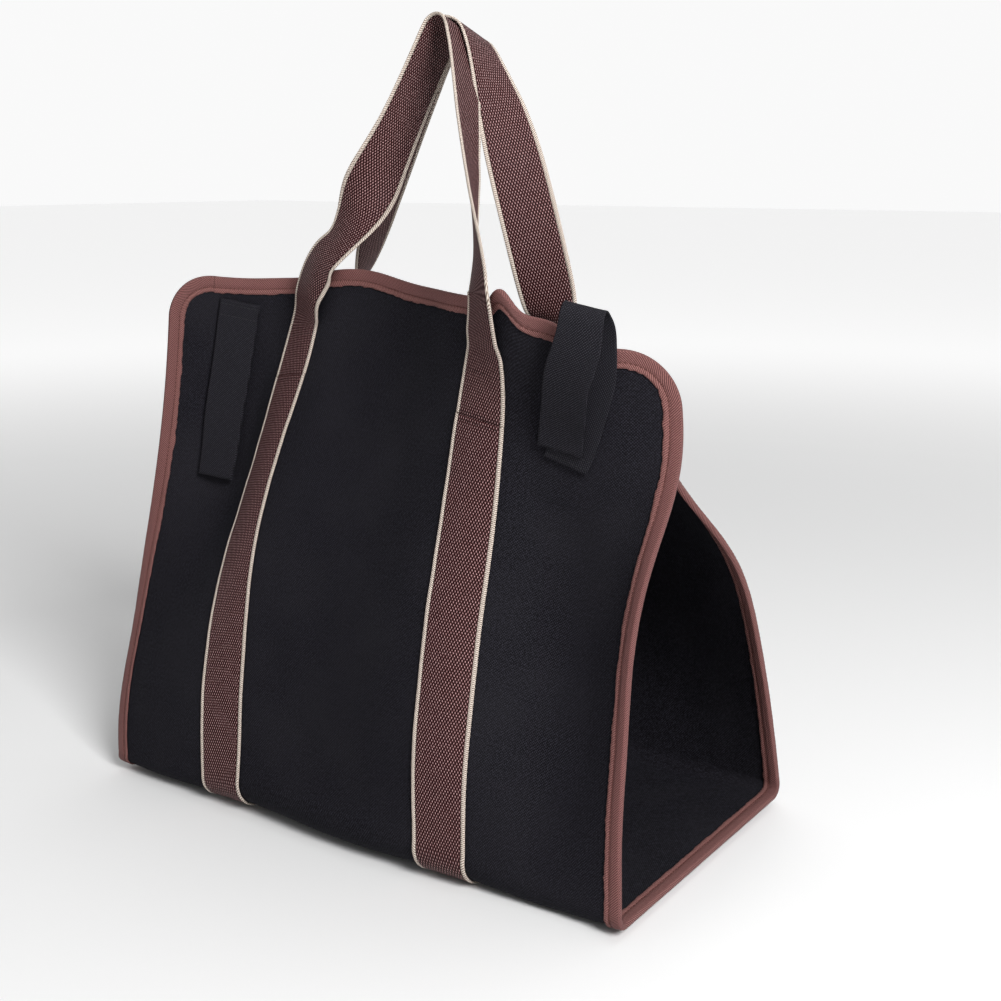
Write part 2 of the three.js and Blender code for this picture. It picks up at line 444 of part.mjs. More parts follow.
// tabs: a strap along a short path on or off the front panel
function tabSolid(path, wall, square) {
  const at = (r, du, dv, off) => sheet(['f', r.v + dv], r.u + du, off);
  const pts = path.map((r) => at(r, 0, 0, r.off + wall / 2));
  const rows = path.map((r, i) => {
    const d = pts[Math.min(path.length - 1, i + 1)].clone().sub(pts[Math.max(0, i - 1)]).normalize();
    const across2 = at(r, 1, 0, r.off).sub(at(r, -1, 0, r.off)).normalize();
    const w = across2.addScaledVector(d, -across2.dot(d) * (square ? 1 : 0.5)).normalize();
    const n = w.clone().cross(d).normalize();
    const p = (k, h) => pts[i].clone().addScaledVector(w, k * TAB_W / 2 * (r.wide ?? 1)).addScaledVector(n, h);
    return { near: [-1, 0, 1].map((k) => p(k, -wall / 2)), far: [-1, 0, 1].map((k) => p(k, wall / 2)) };
  });
  return strap(rows);
}

// ---------------------------------------------------------------- the carrier
const CANVAS = 0x1d1c21, TAPE = 0x7c4a40, WEBBING = 0x5a3636, TAB = 0x24242a;
const carrier = new THREE.Group();
carrier.add(
  solid('canvas_body', canvasSolid(), CANVAS, 0.85),
  solid('edge_binding', tapeSolid(), TAPE, 0.7),
  solid('band_left', bandSolid(BAND_LEFT), WEBBING, 0.65),
  solid('band_right', bandSolid(BAND_RIGHT), WEBBING, 0.65),
  solid('handle_front', handleSolid('f', SLIDE.front, 0, ['front_left', 'front_right'], [1, -1]), WEBBING, 0.65),
  solid('handle_back', handleSolid('b', SLIDE.back, 1, ['back_left', 'back_right'], [-1, 1]), WEBBING, 0.65),
  solid('tab_left', tabSolid(TAB_LEFT, 3.2, true), TAB, 0.75),
  solid('tab_right', tabSolid(TAB_RIGHT, 1.6, false), TAB, 0.75),
);
const group = new THREE.Group();
carrier.position.copy(HANG).negate();
group.add(carrier);
export default group;
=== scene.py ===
import math

import bpy
import numpy as np
from mathutils import Matrix, Vector


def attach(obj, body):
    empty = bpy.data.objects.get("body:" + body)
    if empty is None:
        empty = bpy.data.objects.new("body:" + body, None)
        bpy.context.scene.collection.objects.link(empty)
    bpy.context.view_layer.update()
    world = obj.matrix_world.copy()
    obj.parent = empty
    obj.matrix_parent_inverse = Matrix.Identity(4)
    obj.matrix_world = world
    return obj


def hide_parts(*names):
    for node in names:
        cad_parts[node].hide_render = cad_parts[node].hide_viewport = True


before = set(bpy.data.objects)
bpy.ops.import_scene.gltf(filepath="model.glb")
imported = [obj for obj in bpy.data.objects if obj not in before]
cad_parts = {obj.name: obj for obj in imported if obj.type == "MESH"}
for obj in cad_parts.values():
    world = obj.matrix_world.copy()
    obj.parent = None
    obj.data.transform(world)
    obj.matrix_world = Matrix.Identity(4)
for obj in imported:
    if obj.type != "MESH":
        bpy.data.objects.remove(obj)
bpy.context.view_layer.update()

# ------------------------------------------------------------------ camera
scene = bpy.context.scene
cam_data = bpy.data.cameras.new("view")
cam = bpy.data.objects.new("view", cam_data)
scene.collection.objects.link(cam)
cam_data.sensor_width = 36.0
cam_data.lens = 53.69
cam_data.clip_end = 60.0
cam.location = (0.6385, -0.8410, -0.0922)
right_dir = Vector((0.8125, 0.583, 0.0)).normalized()
look = Vector((-0.569, 0.793, -0.2163)).normalized()
up_dir = right_dir.cross(look).normalized()
cam.matrix_world = Matrix((
    (right_dir.x, up_dir.x, -look.x, cam.location.x),
    (right_dir.y, up_dir.y, -look.y, cam.location.y),
    (right_dir.z, up_dir.z, -look.z, cam.location.z),
    (0, 0, 0, 1)))
scene.camera = cam
scene.view_settings.view_transform = "Standard"

# ------------------------------------------------------------------ driving sizes (mm, the CAD's own)
CLOTH_W, CLOTH_WALL, CORNER_R = 460.0, 1.6, 34.0
FRONT_L, BACK_L, SKEW, BASE_DEPTH = 362.4, 352.0, 0.047, 236.0
TAPE_W, TAPE_WALL, TAPE_GAP = 12.0, 0.9, 0.4
WEB_W, WEB_WALL = 40.0, 1.6
BAND_LEFT, BAND_RIGHT, SEAM_V, GAP = -110.0, 95.0, 74.0, 0.3
HANG = np.array([19.5, 118.0, 541.2])
HANG_TILT, HANG_R, TAB_W = 19.0, 9.0, 30.0
ACROSS = np.array([-230.0, -166, -102, 0, 102, 166, 230])
# at, shift, then the lean at each station across
FRONT = np.array([
    [0.000, 5.6, 8, 5, 15, 27, 12, 27, 18],
    [0.118, -0.2, 18, 12, 10, 15, 11, 26, 22],
    [0.250, -2.6, 20, 21, 11, 14, 13, 20, 18],
    [0.395, -3.9, 13, 27, 14, 15, 12, 13, 9],
    [0.539, -1.8, 3, 22, 20, 15, 9, 3, 6],
    [0.684, 3.2, -1, 12, 21, 14, 3, -7, 9],
    [0.842, 11.7, -4, 4, 18, 12, 0, -12, 6],
    [1.000, 19.2, -6, -1, 8, 10, -7, -12, -2]], float)
BACK = np.array([
    [0.000, -5.8, 9, 3, -2, -9, -14, -2, 16],
    [0.118, -4.5, 12, 8, 4, -4, -5, 3, 14],
    [0.250, -3.2, 15, 13, 10, 3, 7, 11, 18],
    [0.395, -1.7, 18, 17, 14, 11, 18, 22, 25],
    [0.539, 0.5, 20, 20, 16, 16, 26, 30, 39],
    [0.684, 2.1, 22, 23, 19, 20, 31, 35, 46],
    [0.842, 3.7, 24, 25, 21, 25, 35, 37, 36],
    [1.000, 5.3, 25, 26, 24, 29, 36, 37, 29]], float)
FOLDS = {
    "front": {"radius": [7, 12.6, 18.8, 19.5, 17.8, 12.6, 7], "out": [6, 10.4, 11.7, 18.5, 14, 7, 8],
              "down": [3, 5, 5, 6.5, 5.5, 8.5, 3]},
    "back": {"radius": [8, 13, 18, 18, 18, 13, 8], "out": [0, 3, 6, 8, 6, 3, 0],
             "down": [3, 4.5, 5, 5.5, 5, 5, 3]}}
# panel, u, v, reach across, reach along, lift, push, whether the straps follow it
PULLS = [
    ("f", -60, 0, 34, 50, 5, 0, True),
    ("f", -165, 0, 30, 60, 2.5, 0, True), ("f", -136, 0, 21, 52, 0, -6, True), ("f", -84, 0, 21, 52, 0, 6, True),
    ("f", 71, 0, 20, 40, 0, -5.5, True), ("f", 120, 0, 18, 42, 0, 6.5, True), ("f", -230, 135, 42, 115, 0, 9.5, True),
    ("f", 230, 52, 38, 56, 0, -10.5, True), ("b", -130, 0, 22, 55, 0, 9, True), ("b", -86, 0, 22, 55, 0, -9, True),
    ("f", 117, 0, 12, 42, 15, 0, False), ("f", 152, 0, 24, 45, 8.5, 0, False)]
# at, low, high, wide
TURNS = {
    "front_left": [(0, 0, 0, 1), (0.06, -6, -2, 0.9), (0.12, -8, 1, 0.84), (0.21, 1, 13, 0.9), (0.31, 28, 38, 0.97),
                   (0.42, 60, 69, 1), (0.54, 80, 84, 1), (0.66, 88, 89, 1), (1, 90, 90, 1)],
    "front_right": [(0, 0, 0, 1), (0.2, 20, 12, 1), (0.35, 40, 32, 1), (0.55, 62, 62, 1),
                    (0.75, 77, 77, 1), (1, 90, 90, 1)],
    "back_left": [(0, 0, 0, 1), (0.08, 36, 36, 0.9), (0.2, 62, 62, 0.88), (0.5, 80, 80, 1), (1, 90, 90, 1)],
    "back_right": [(0, 0, 0, 1), (0.1, 30, 30, 1), (0.2, 40, 40, 1), (0.4, 46, 46, 1), (0.55, 52, 52, 1),
                   (0.7, 66, 66, 1), (0.82, 80, 80, 1), (1, 90, 90, 1)]}
# angle where the leg leaves the top bend, stiffness at its start and finish, sideways bow, drift along the
# sheet and rise off it above the stitching
LEGS = {"front_left": (153, 0.12, 0.1, 27, 21, 4.4), "front_right": (27, 0.06, 0.1, 0, 0, 0.3),
        "back_left": (153, 0.06, 0.1, -5, 0, 0), "back_right": (54, 0.1, 0.12, 3, 0, 0)}
SLIDE = {"f": (-6.5, -8), "b": (-3, 8)}
# u, v, off, width share
TAB_LEFT = [(-175, 17, 2.4, 1), (-176, 30, 2.8, 1), (-177, 50, 3.6, 1), (-178, 75, 4.4, 1),
            (-179, 100, 4.8, 1), (-177.5, 128, 5.0, 1), (-176, 149, 5.4, 1)]
TAB_RIGHT = [(158, 82, 1.4, 1), (162, 70, 1.4, 1), (167, 54, 1.5, 1), (173, 34, 1.8, 1), (178, 16, 2.4, 1),
             (180, 0, 3.0, 1), (181, -14, 4.4, 1), (181, -23, 7.0, 0.92), (181, -27, 11, 0.88),
             (180, -24.5, 15.2, 0.88), (178, -14, 18.2, 0.92), (173, 5, 18.8, 1), (166, 24, 16.4, 1),
             (161, 44, 11.6, 1), (157, 60, 6.5, 1), (155, 73, 4.0, 1)]


# ------------------------------------------------------------------ small maths
def unit(a):
    return a / np.maximum(np.linalg.norm(a, axis=-1, keepdims=True), 1e-12)


def smooth(t):
    k = np.clip(t, 0, 1)
    return k * k * (3 - 2 * k)


def spline(xs, ys, x):
    """natural cubic spline through (xs, ys), ys may hold several columns; value at x"""
    xs, ys, x = np.asarray(xs, float), np.asarray(ys, float), np.asarray(x, float)
    n = len(xs)
    A = np.eye(n)
    R = np.zeros((n,) + ys.shape[1:])
    for i in range(1, n - 1):
        h0, h1 = xs[i] - xs[i - 1], xs[i + 1] - xs[i]
        A[i, i - 1], A[i, i], A[i, i + 1] = h0, 2 * (h0 + h1), h1
        R[i] = 6 * ((ys[i + 1] - ys[i]) / h1 - (ys[i] - ys[i - 1]) / h0)
    m = np.linalg.solve(A, R)
    i = np.clip(np.searchsorted(xs, x, side="left") - 1, 0, n - 2)
    h = xs[i + 1] - xs[i]
    a, b = (xs[i + 1] - x) / h, (x - xs[i]) / h
    if ys.ndim > 1:
        h, a, b = h[..., None], a[..., None], b[..., None]
    return a * ys[i] + b * ys[i + 1] + ((a ** 3 - a) * m[i] + (b ** 3 - b) * m[i + 1]) * h * h / 6


rng = np.random.default_rng(7)


def noise1(x, seed, scale):
    """smooth value noise along a line, about -1..1"""
    r = np.random.default_rng(seed).uniform(-1, 1, 4096)
    t = np.asarray(x, float) / scale + 1000.0
    i = np.floor(t).astype(int)
    f = smooth(t - i)
    return r[i % 4096] * (1 - f) + r[(i + 1) % 4096] * f


def noise2(x, y, seed, scale):
    """smooth value noise over a plane, about -1..1"""
    r = np.random.default_rng(seed).uniform(-1, 1, (256, 256))
    tx, ty = np.asarray(x, float) / scale + 500.0, np.asarray(y, float) / scale + 500.0
    i, j = np.floor(tx).astype(int), np.floor(ty).astype(int)
    f, g = smooth(tx - i), smooth(ty - j)
    i0, i1, j0, j1 = i % 256, (i + 1) % 256, j % 256, (j + 1) % 256
    return (r[i0, j0] * (1 - f) + r[i1, j0] * f) * (1 - g) + (r[i0, j1] * (1 - f) + r[i1, j1] * f) * g


# ------------------------------------------------------------------ the bent sheet, as the CAD works it out
NU, NP, NC, NB = 185, 150, 12, 6
UCOL = -CLOTH_W / 2 + CLOTH_W * np.arange(NU) / (NU - 1)


def panel_net(table, fold, length, skew):
    at = table[:, 0]
    lean_rows = np.array([spline(ACROSS, row[2:], UCOL) for row in table]) * math.pi / 180   # rows x NU
    radius, out, down = (spline(ACROSS, fold[k], UCOL) for k in ("radius", "out", "down"))
    lean = spline(at, lean_rows, np.arange(NP + 1) / NP)                                      # NP+1 x NU
    first = lean[0]
    Y, Z = np.zeros((NC + NP + 1, NU)), np.zeros((NC + NP + 1, NU))
    for i in range(NC + 1):
        a = -math.pi / 2 + (first + math.pi / 2) * i / NC
        Y[i] = -out + radius - radius * np.cos(a)
        Z[i] = -down + radius + radius * np.sin(a)
    step = length * (1 + skew * UCOL / (CLOTH_W / 2)) / NP
    for i in range(1, NP + 1):
        Y[NC + i] = Y[NC + i - 1] + (np.sin(lean[i - 1]) + np.sin(lean[i])) / 2 * step
        Z[NC + i] = Z[NC + i - 1] + (np.cos(lean[i - 1]) + np.cos(lean[i])) / 2 * step
    rows = np.arange(NC + NP + 1)
    s = spline(at, table[:, 1], np.maximum(0, rows - NC) / NP)
    du = UCOL[1] - UCOL[0]
    a = np.maximum(0, np.arange(NU) - 1)
    b = np.minimum(NU - 1, np.arange(NU) + 1)
    w = (b - a) * du
    yu, zu = (Y[:, b] - Y[:, a]) / w, (Z[:, b] - Z[:, a]) / w
    xu = np.sqrt(np.maximum(0.05, 1 - yu ** 2 - zu ** 2))
    X = np.zeros_like(Y)
    X[:, 1:] = np.cumsum((xu[:, 1:] + xu[:, :-1]) / 2 * du, axis=1)
    X += s[:, None] - X[:, (NU - 1) // 2][:, None]
    return np.stack([X, Y, Z], -1)


front_net = panel_net(FRONT, FOLDS["front"], FRONT_L, -SKEW)[::-1]
back_net = panel_net(BACK, FOLDS["back"], BACK_L, SKEW)
back_net[..., 1] = BASE_DEPTH - back_net[..., 1]
net = np.concatenate([front_net] +
                     [(front_net[NC + NP] * (1 - i / NB) + back_net[0] * i / NB)[None] for i in range(1, NB)] +
                     [back_net])
NR = len(net)
run = np.zeros((NR, NU))
run[1:] = np.cumsum(np.linalg.norm(net[1:] - net[:-1], axis=-1), axis=0)


def net_normals(n):
    i, j = np.arange(NR), np.arange(NU)
    a, b = n[np.maximum(0, i - 1)], n[np.minimum(NR - 1, i + 1)]
    c, d = n[:, np.maximum(0, j - 1)], n[:, np.minimum(NU - 1, j + 1)]
    return unit(np.cross(d - c, a - b))


def pulled(n, straps_only):
    for side, fu, fv, fa, fl, lift, push, strap in PULLS:
        if straps_only and not strap:
            continue
        v = run if side == "f" else run[-1][None] - run
        g = np.exp(-((UCOL[None] - fu) / fa) ** 2 - ((v - fv) / fl) ** 2)
        g[g <= 1e-3] = 0
        n = n + net_normals(n) * (push * g)[..., None] + np.array([0, 0, 1.0]) * (lift * g)[..., None]
    return n, net_normals(n)


SHEET, STRAPS = pulled(net, False), pulled(net, True)

# one coordinate q runs down the front panel, under the base and up the back panel:
# 0 is the front top edge, QG the back top edge, in millimetres of cloth at the middle
QA = 336.0
QB = FRONT_L
QC = QB + 26.0
QD = QC + 204.0
QE = QD + 26.0
QF = QE + (BACK_L - 336.0)
QG = QF + 336.0


def panel_row(s, u, front):
    L, k = (FRONT_L, -SKEW) if front else (BACK_L, SKEW)
    full = 1 + k * u / (CLOTH_W / 2)
    w = np.maximum(0, (s - CORNER_R) / (L - CORNER_R))
    r = s * (1 + (full - 1) * w) / (L * full) * NP
    return r if front else NR - 1 - r


def row_of(q, u):
    q, u = np.broadcast_arrays(np.asarray(q, float), np.asarray(u, float))
    rA, rF = panel_row(np.full_like(q, 336.0), u, True), panel_row(np.full_like(q, 336.0), u, False)
    return np.select(
        [q <= QA, q <= QB, q <= QC, q <= QD, q <= QE, q <= QF],
        [panel_row(q, u, True), rA + (NP - rA) * (q - QA) / (QB - QA), NP + NC * (q - QB) / (QC - QB),
         NP + NC + NB * (q - QC) / (QD - QC), NP + NC + NB + NC * (q - QD) / (QE - QD),
         (NP + 2 * NC + NB) + (rF - (NP + 2 * NC + NB)) * (q - QE) / (QF - QE)],
        panel_row(QG - q, u, False))


def on_grid(grid, r, u):
    c = np.clip((u + CLOTH_W / 2) / (CLOTH_W / (NU - 1)), 0, NU - 1.0001)
    p = np.clip(r, 0, NR - 1.0001)
    i, j = np.floor(p).astype(int), np.floor(c).astype(int)
    a, b = (p - i)[..., None], (c - j)[..., None]
    return (grid[i, j] * (1 - b) + grid[i, j + 1] * b) * (1 - a) + (grid[i + 1, j] * (1 - b) + grid[i + 1, j + 1] * b) * a


def sheet_at(q, u, off=0.0, on=SHEET):
    """points off the sheet's outer face; q and u in millimetres of cloth"""
    grid, normals = on
    q, u, off = np.broadcast_arrays(np.asarray(q, float), np.asarray(u, float), np.asarray(off, float))
    r = row_of(q, u)
    p, n = on_grid(grid, r, u), unit(on_grid(normals, r, u))
    past = np.where(r < 0, np.maximum(0, -q), np.where(r > NR - 1, np.maximum(0, q - QG), 0))
    e, g = np.where(r < 0, 0.0, NR - 1.0), np.where(r < 0, 4.0, NR - 5.0)
    d = unit(on_grid(grid, e, u) - on_grid(grid, g, u))
    return p + d * past[..., None] + n * off[..., None]


def to_m(p):
    return (np.asarray(p) - HANG) / 1000.0


# ------------------------------------------------------------------ mesh makers
def make(name, verts, faces, weave=None, mat=None, mats=None, mat_index=None, smooth_shade=True):
    """verts in mm in the sheet's working frame; weave: a value of three numbers for each vertex"""
    v = to_m(verts).astype(np.float32)
    f = np.asarray(faces, np.int32)
    me = bpy.data.meshes.new(name)
    me.vertices.add(len(v))
    me.vertices.foreach_set("co", v.ravel())
    n = f.shape[1]
    me.loops.add(f.size)
    me.loops.foreach_set("vertex_index", f.ravel())
    me.polygons.add(len(f))
    me.polygons.foreach_set("loop_start", np.arange(0, f.size, n, dtype=np.int32))
    me.polygons.foreach_set("loop_total", np.full(len(f), n, np.int32))
    if mat_index is not None:
        me.polygons.foreach_set("material_index", np.asarray(mat_index, np.int32))
    me.polygons.foreach_set("use_smooth", np.full(len(f), smooth_shade))
    me.update(calc_edges=True)
    me.validate()
    if weave is not None:
        at = me.attributes.new("weave", "FLOAT_VECTOR", "POINT")
        at.data.foreach_set("vector", np.asarray(weave, np.float32).ravel())
    for m in (mats or [mat]):
        me.materials.append(m)
    o = bpy.data.objects.new(name, me)
    scene.collection.objects.link(o)
    return o


def grid_faces(nr, nc, start=0, flip=False, wrap_rows=False, wrap_cols=False):
    i = np.arange(nr if wrap_rows else nr - 1)
    j = np.arange(nc if wrap_cols else nc - 1)
    I, J = np.meshgrid(i, j, indexing="ij")
    I2, J2 = (I + 1) % nr, (J + 1) % nc
    a, b, c, d = I * nc + J, I * nc + J2, I2 * nc + J2, I2 * nc + J
    q = np.stack([a, b, c, d] if not flip else [a, d, c, b], -1).reshape(-1, 4) + start
    return q


def outward(verts, faces):
    """turns every face round when the closed surface's volume comes out negative"""
    v = verts - verts.mean(0)
    f = faces
    vol = 0.0
    for k in range(1, f.shape[1] - 1):
        a, b, c = v[f[:, 0]], v[f[:, k]], v[f[:, k + 1]]
        vol += np.einsum("ij,ij->i", a, np.cross(b, c)).sum()
    return f if vol > 0 else f[:, ::-1]


def tube_along(rings, weave, caps=True):
    """rings: stations x section points x 3, joined and closed at the ends by fans of quads"""
    ns, nk = rings.shape[:2]
    verts = rings.reshape(-1, 3)
    faces = grid_faces(ns, nk, wrap_cols=True)
    if caps:
        half = nk // 2
        # cap: a strip across the flat section, point k with point nk-1-k
        for s, fl in ((0, True), (ns - 1, False)):
            k = np.arange(half - 1)
            a, b, c, d = s * nk + k, s * nk + k + 1, s * nk + (nk - 2 - k), s * nk + (nk - 1 - k)
            q = np.stack([a, b, c, d] if not fl else [a, d, c, b], -1)
            faces = np.concatenate([faces, q])
    return verts, outward(verts, faces), weave.reshape(-1, 3)


# ------------------------------------------------------------------ materials
def new_mat(name, rough, spec=0.35, sheen=0.0, sheen_tint=(1, 1, 1, 1), sheen_rough=0.5):
    m = bpy.data.materials.new(name)
    m.use_nodes = True
    b = m.node_tree.nodes["Principled BSDF"]
    b.inputs["Roughness"].default_value = rough
    b.inputs["Specular IOR Level"].default_value = spec
    if sheen:
        b.inputs["Sheen Weight"].default_value = sheen
        b.inputs["Sheen Tint"].default_value = sheen_tint
        b.inputs["Sheen Roughness"].default_value = sheen_rough
    return m, m.node_tree, b


def srgb(r, g, b):
    f = lambda c: (c / 255 / 12.92) if c / 255 <= 0.04045 else ((c / 255 + 0.055) / 1.055) ** 2.4
    return (f(r), f(g), f(b), 1.0)


class Net:
    """short hands for wiring a material's nodes"""
    def __init__(self, tree):
        self.t = tree

    def put(self, v, sock):
        if isinstance(v, bpy.types.NodeSocket):
            self.t.links.new(v, sock)
        else:
            sock.default_value = v

    def math(self, op, a, b=0.0, c=0.0, clamp=False):
        n = self.t.nodes.new("ShaderNodeMath")
        n.operation = op
        n.use_clamp = clamp
        self.put(a, n.inputs[0])
        self.put(b, n.inputs[1])
        self.put(c, n.inputs[2])
        return n.outputs[0]

    def attr(self, name="weave"):
        n = self.t.nodes.new("ShaderNodeAttribute")
        n.attribute_name = name
        s = self.t.nodes.new("ShaderNodeSeparateXYZ")
        self.t.links.new(n.outputs["Vector"], s.inputs[0])
        return n.outputs["Vector"], s.outputs[0], s.outputs[1], s.outputs[2]

    def wave(self, x, pitch, phase=0.0):
        """cosine of a length in millimetres"""
        return self.math("COSINE", self.math("MULTIPLY_ADD", x, 2 * math.pi / pitch, phase))

    def noise(self, vec, scale, detail=2.0, rough=0.5, out="Fac"):
        n = self.t.nodes.new("ShaderNodeTexNoise")
        n.inputs["Scale"].default_value = scale
        n.inputs["Detail"].default_value = detail
        n.inputs["Roughness"].default_value = rough
        self.t.links.new(vec, n.inputs["Vector"])
        return n.outputs[out]

    def ramp(self, fac, stops):
        n = self.t.nodes.new("ShaderNodeValToRGB")
        el = n.color_ramp.elements
        el[0].position, el[0].color = stops[0]
        el[1].position, el[1].color = stops[-1]
        for p, c in stops[1:-1]:
            e = el.new(p)
            e.color = c
        self.put(fac, n.inputs[0])
        return n.outputs[0]

    def mix(self, fac, a, b):
        n = self.t.nodes.new("ShaderNodeMix")
        n.data_type = "RGBA"
        self.put(fac, n.inputs["Factor"])
        self.put(a, n.inputs["A"])
        self.put(b, n.inputs["B"])
        return n.outputs["Result"]

    def range(self, v, a, b, c=0.0, d=1.0):
        n = self.t.nodes.new("ShaderNodeMapRange")
        n.interpolation_type = "SMOOTHSTEP"
        self.put(v, n.inputs["Value"])
        n.inputs["From Min"].default_value, n.inputs["From Max"].default_value = a, b
        n.inputs["To Min"].default_value, n.inputs["To Max"].default_value = c, d
        return n.outputs[0]

    def bump(self, height, mm, bsdf, strength=1.0):
        n = self.t.nodes.new("ShaderNodeBump")
        n.inputs["Strength"].default_value = strength
        n.inputs["Distance"].default_value = mm / 1000.0
        self.t.links.new(height, n.inputs["Height"])
        self.t.links.new(n.outputs[0], bsdf.inputs["Normal"])
        return n


def canvas_material():
    m, t, b = new_mat("canvas_black", 0.88, 0.05, sheen=0.015, sheen_tint=(0.5, 0.55, 0.68, 1), sheen_rough=0.5)
    n = Net(t)
    vec, u, v, _ = n.attr()
    # plain weave: raised crossings of warp and weft about a millimetre apart
    plain = n.math("MULTIPLY", n.wave(u, 1.9), n.wave(v, 1.9, 0.4))
    slub = n.noise(vec, 0.55, 3.0, 0.6)
    # fine light specks: painted glints off the fibres
    glint_speck = n.noise(vec, 1.6, 2.0, 0.7)
    broad = n.noise(vec, 0.012, 3.0, 0.5)
    k = n.math("ADD", n.math("MULTIPLY", plain, 0.15), n.math("MULTIPLY", glint_speck, 0.8))
    k = n.math("ADD", k, n.math("MULTIPLY", slub, 0.45))
    # colour ramp: near-black cloth tone from the weave and slub, lightening to painted glints where the specks peak
    col = n.ramp(k, [(0.32, srgb(8, 7, 9)), (0.58, srgb(13, 12, 15)), (0.80, srgb(43, 42, 49))])
    col = n.mix(n.range(broad, 0.35, 0.7), col, n.mix(0.35, col, srgb(36, 35, 39)))
    t.links.new(col, b.inputs["Base Color"])
    h = n.math("ADD", n.math("MULTIPLY", plain, 0.35), n.math("MULTIPLY", slub, 0.8))
    n.bump(h, 0.22, b, 0.8)
    return m


def tape_material():
    m, t, b = new_mat("binding_maroon", 0.66, 0.16, sheen=0.03, sheen_tint=(1.0, 0.75, 0.7, 1))
    n = Net(t)
    vec, a, l, lip = n.attr()          # a: across the tape from its inner edge, l: along, lip: mask of the inner lip
    warp = n.noise(vec, 0.15, 2.0, 0.5)
    diag = n.math("ADD", n.math("ADD", a, l), n.math("MULTIPLY", warp, 0.8))
    tw = n.wave(diag, 1.6)
    fine = n.math("MULTIPLY", n.wave(n.math("SUBTRACT", a, l), 0.95), 0.35)
    h = n.math("ADD", tw, fine)
    grain = n.noise(vec, 1.3, 3.0, 0.6)
    k = n.math("ADD", n.math("MULTIPLY_ADD", h, 0.30, 0.42), n.math("MULTIPLY", n.math("SUBTRACT", grain, 0.5), 0.5))
    col = n.ramp(k, [(0.05, srgb(60, 31, 31)), (0.5, srgb(112, 72, 70)), (0.95, srgb(164, 119, 114))])
    lipc = n.ramp(k, [(0.05, srgb(76, 43, 41)), (0.5, srgb(124, 82, 78)), (0.95, srgb(168, 124, 117))])
    col = n.mix(n.math("MULTIPLY", lip, 0.7), col, lipc)
    t.links.new(col, b.inputs["Base Color"])
    n.bump(n.math("MULTIPLY_ADD", h, 0.5, 0.5), 0.30, b, 0.9)
    return m


def webbing_material():
    m, t, b = new_mat("webbing_maroon", 0.58, 0.10)
    n = Net(t)
    vec, x, y, z = n.attr()            # x across from the middle, y along
    ax = n.math("ABSOLUTE", x)
    edge = n.range(ax, 17.0, 17.35)    # the woven light edge cord
    wob = n.noise(vec, 0.22, 2.0, 0.5)
    xw = n.math("MULTIPLY_ADD", wob, 0.5, x)
    yw = n.math("MULTIPLY_ADD", wob, 0.4, y)
    peb = n.math("MULTIPLY", n.wave(xw, 2.05), n.wave(yw, 3.7))
    peb = n.math("MULTIPLY_ADD", peb, 0.5, 0.5)
    peb = n.math("POWER", n.math("MAXIMUM", peb, 0.0001), 1.55)
    cord = n.math("MULTIPLY_ADD", n.wave(n.math("ADD", y, n.math("MULTIPLY", ax, 0.55)), 1.35), 0.5, 0.5)
    grain = n.noise(vec, 1.1, 2.0, 0.6)
    k = n.math("ADD", peb, n.math("MULTIPLY", n.math("SUBTRACT", grain, 0.5), 0.7))
    # the pebble height also drives the colour: painted highlight on the pebble tops and painted shade in the gaps
    # between them, over the maroon of the yarn
    body = n.ramp(k, [(0.10, srgb(20, 3, 4)), (0.34, srgb(52, 24, 24)), (0.62, srgb(90, 56, 56)),
                      (0.92, srgb(176, 142, 142))])
    cream = n.ramp(n.math("ADD", cord, n.math("MULTIPLY", n.math("SUBTRACT", grain, 0.5), 0.5)),
                   [(0.02, srgb(108, 90, 79)), (0.4, srgb(190, 176, 164)), (1.0, srgb(220, 209, 198))])
    dark = n.math("MULTIPLY", n.range(ax, 16.4, 17.0), n.math("SUBTRACT", 1.0, edge))
    body = n.mix(n.math("MULTIPLY", dark, 0.7), body, srgb(36, 13, 14))
    col = n.mix(edge, body, cream)
    t.links.new(col, b.inputs["Base Color"])
    h = n.math("ADD", n.math("MULTIPLY", peb, n.math("SUBTRACT", 1.0, edge)), n.math("MULTIPLY", cord, edge))
    n.bump(h, 0.42, b, 0.85)
    return m


def tab_material():
    m, t, b = new_mat("tab_black", 0.68, 0.07)
    n = Net(t)
    vec, x, y, z = n.attr()
    d1 = n.wave(n.math("ADD", x, n.math("MULTIPLY", y, 0.9)), 1.7)
    d2 = n.wave(n.math("SUBTRACT", n.math("MULTIPLY", x, 0.9), y), 1.7)
    h = n.math("MULTIPLY_ADD", n.math("MULTIPLY", d1, d2), 0.5, 0.5)
    h = n.math("ADD", n.math("MULTIPLY", h, 0.6), n.math("MULTIPLY", n.math("MULTIPLY_ADD", d1, 0.5, 0.5), 0.4))
    grain = n.noise(vec, 1.2, 2.0, 0.6)
    k = n.math("ADD", h, n.math("MULTIPLY", n.math("SUBTRACT", grain, 0.5), 0.6))
    col = n.ramp(k, [(0.05, srgb(6, 6, 8)), (0.5, srgb(21, 20, 24)), (0.95, srgb(60, 59, 66))])
    t.links.new(col, b.inputs["Base Color"])
    n.bump(h, 0.28, b, 0.9)
    return m


def thread_material(name, rgb, rough=0.6):
    m, t, b = new_mat(name, rough, 0.3)
    n = Net(t)
    vec, x, y, z = n.attr()
    tw = n.math("MULTIPLY_ADD", n.wave(n.math("ADD", x, y), 0.7), 0.5, 0.5)
    c = srgb(*rgb)
    dark = (c[0] * 0.45, c[1] * 0.45, c[2] * 0.45, 1)
    t.links.new(n.mix(tw, dark, c), b.inputs["Base Color"])
    n.bump(tw, 0.06, b, 0.6)
    return m


CANVAS, TAPE, WEB, TAB = canvas_material(), tape_material(), webbing_material(), tab_material()
THREAD_TAPE = thread_material("thread_maroon", (96, 52, 46))
THREAD_WEB = thread_material("thread_dark_maroon", (50, 24, 25))
THREAD_TAB = thread_material("thread_black", (24, 24, 27))


# ------------------------------------------------------------------ canvas
RIM = 1.5
INNER = TAPE_W + 1


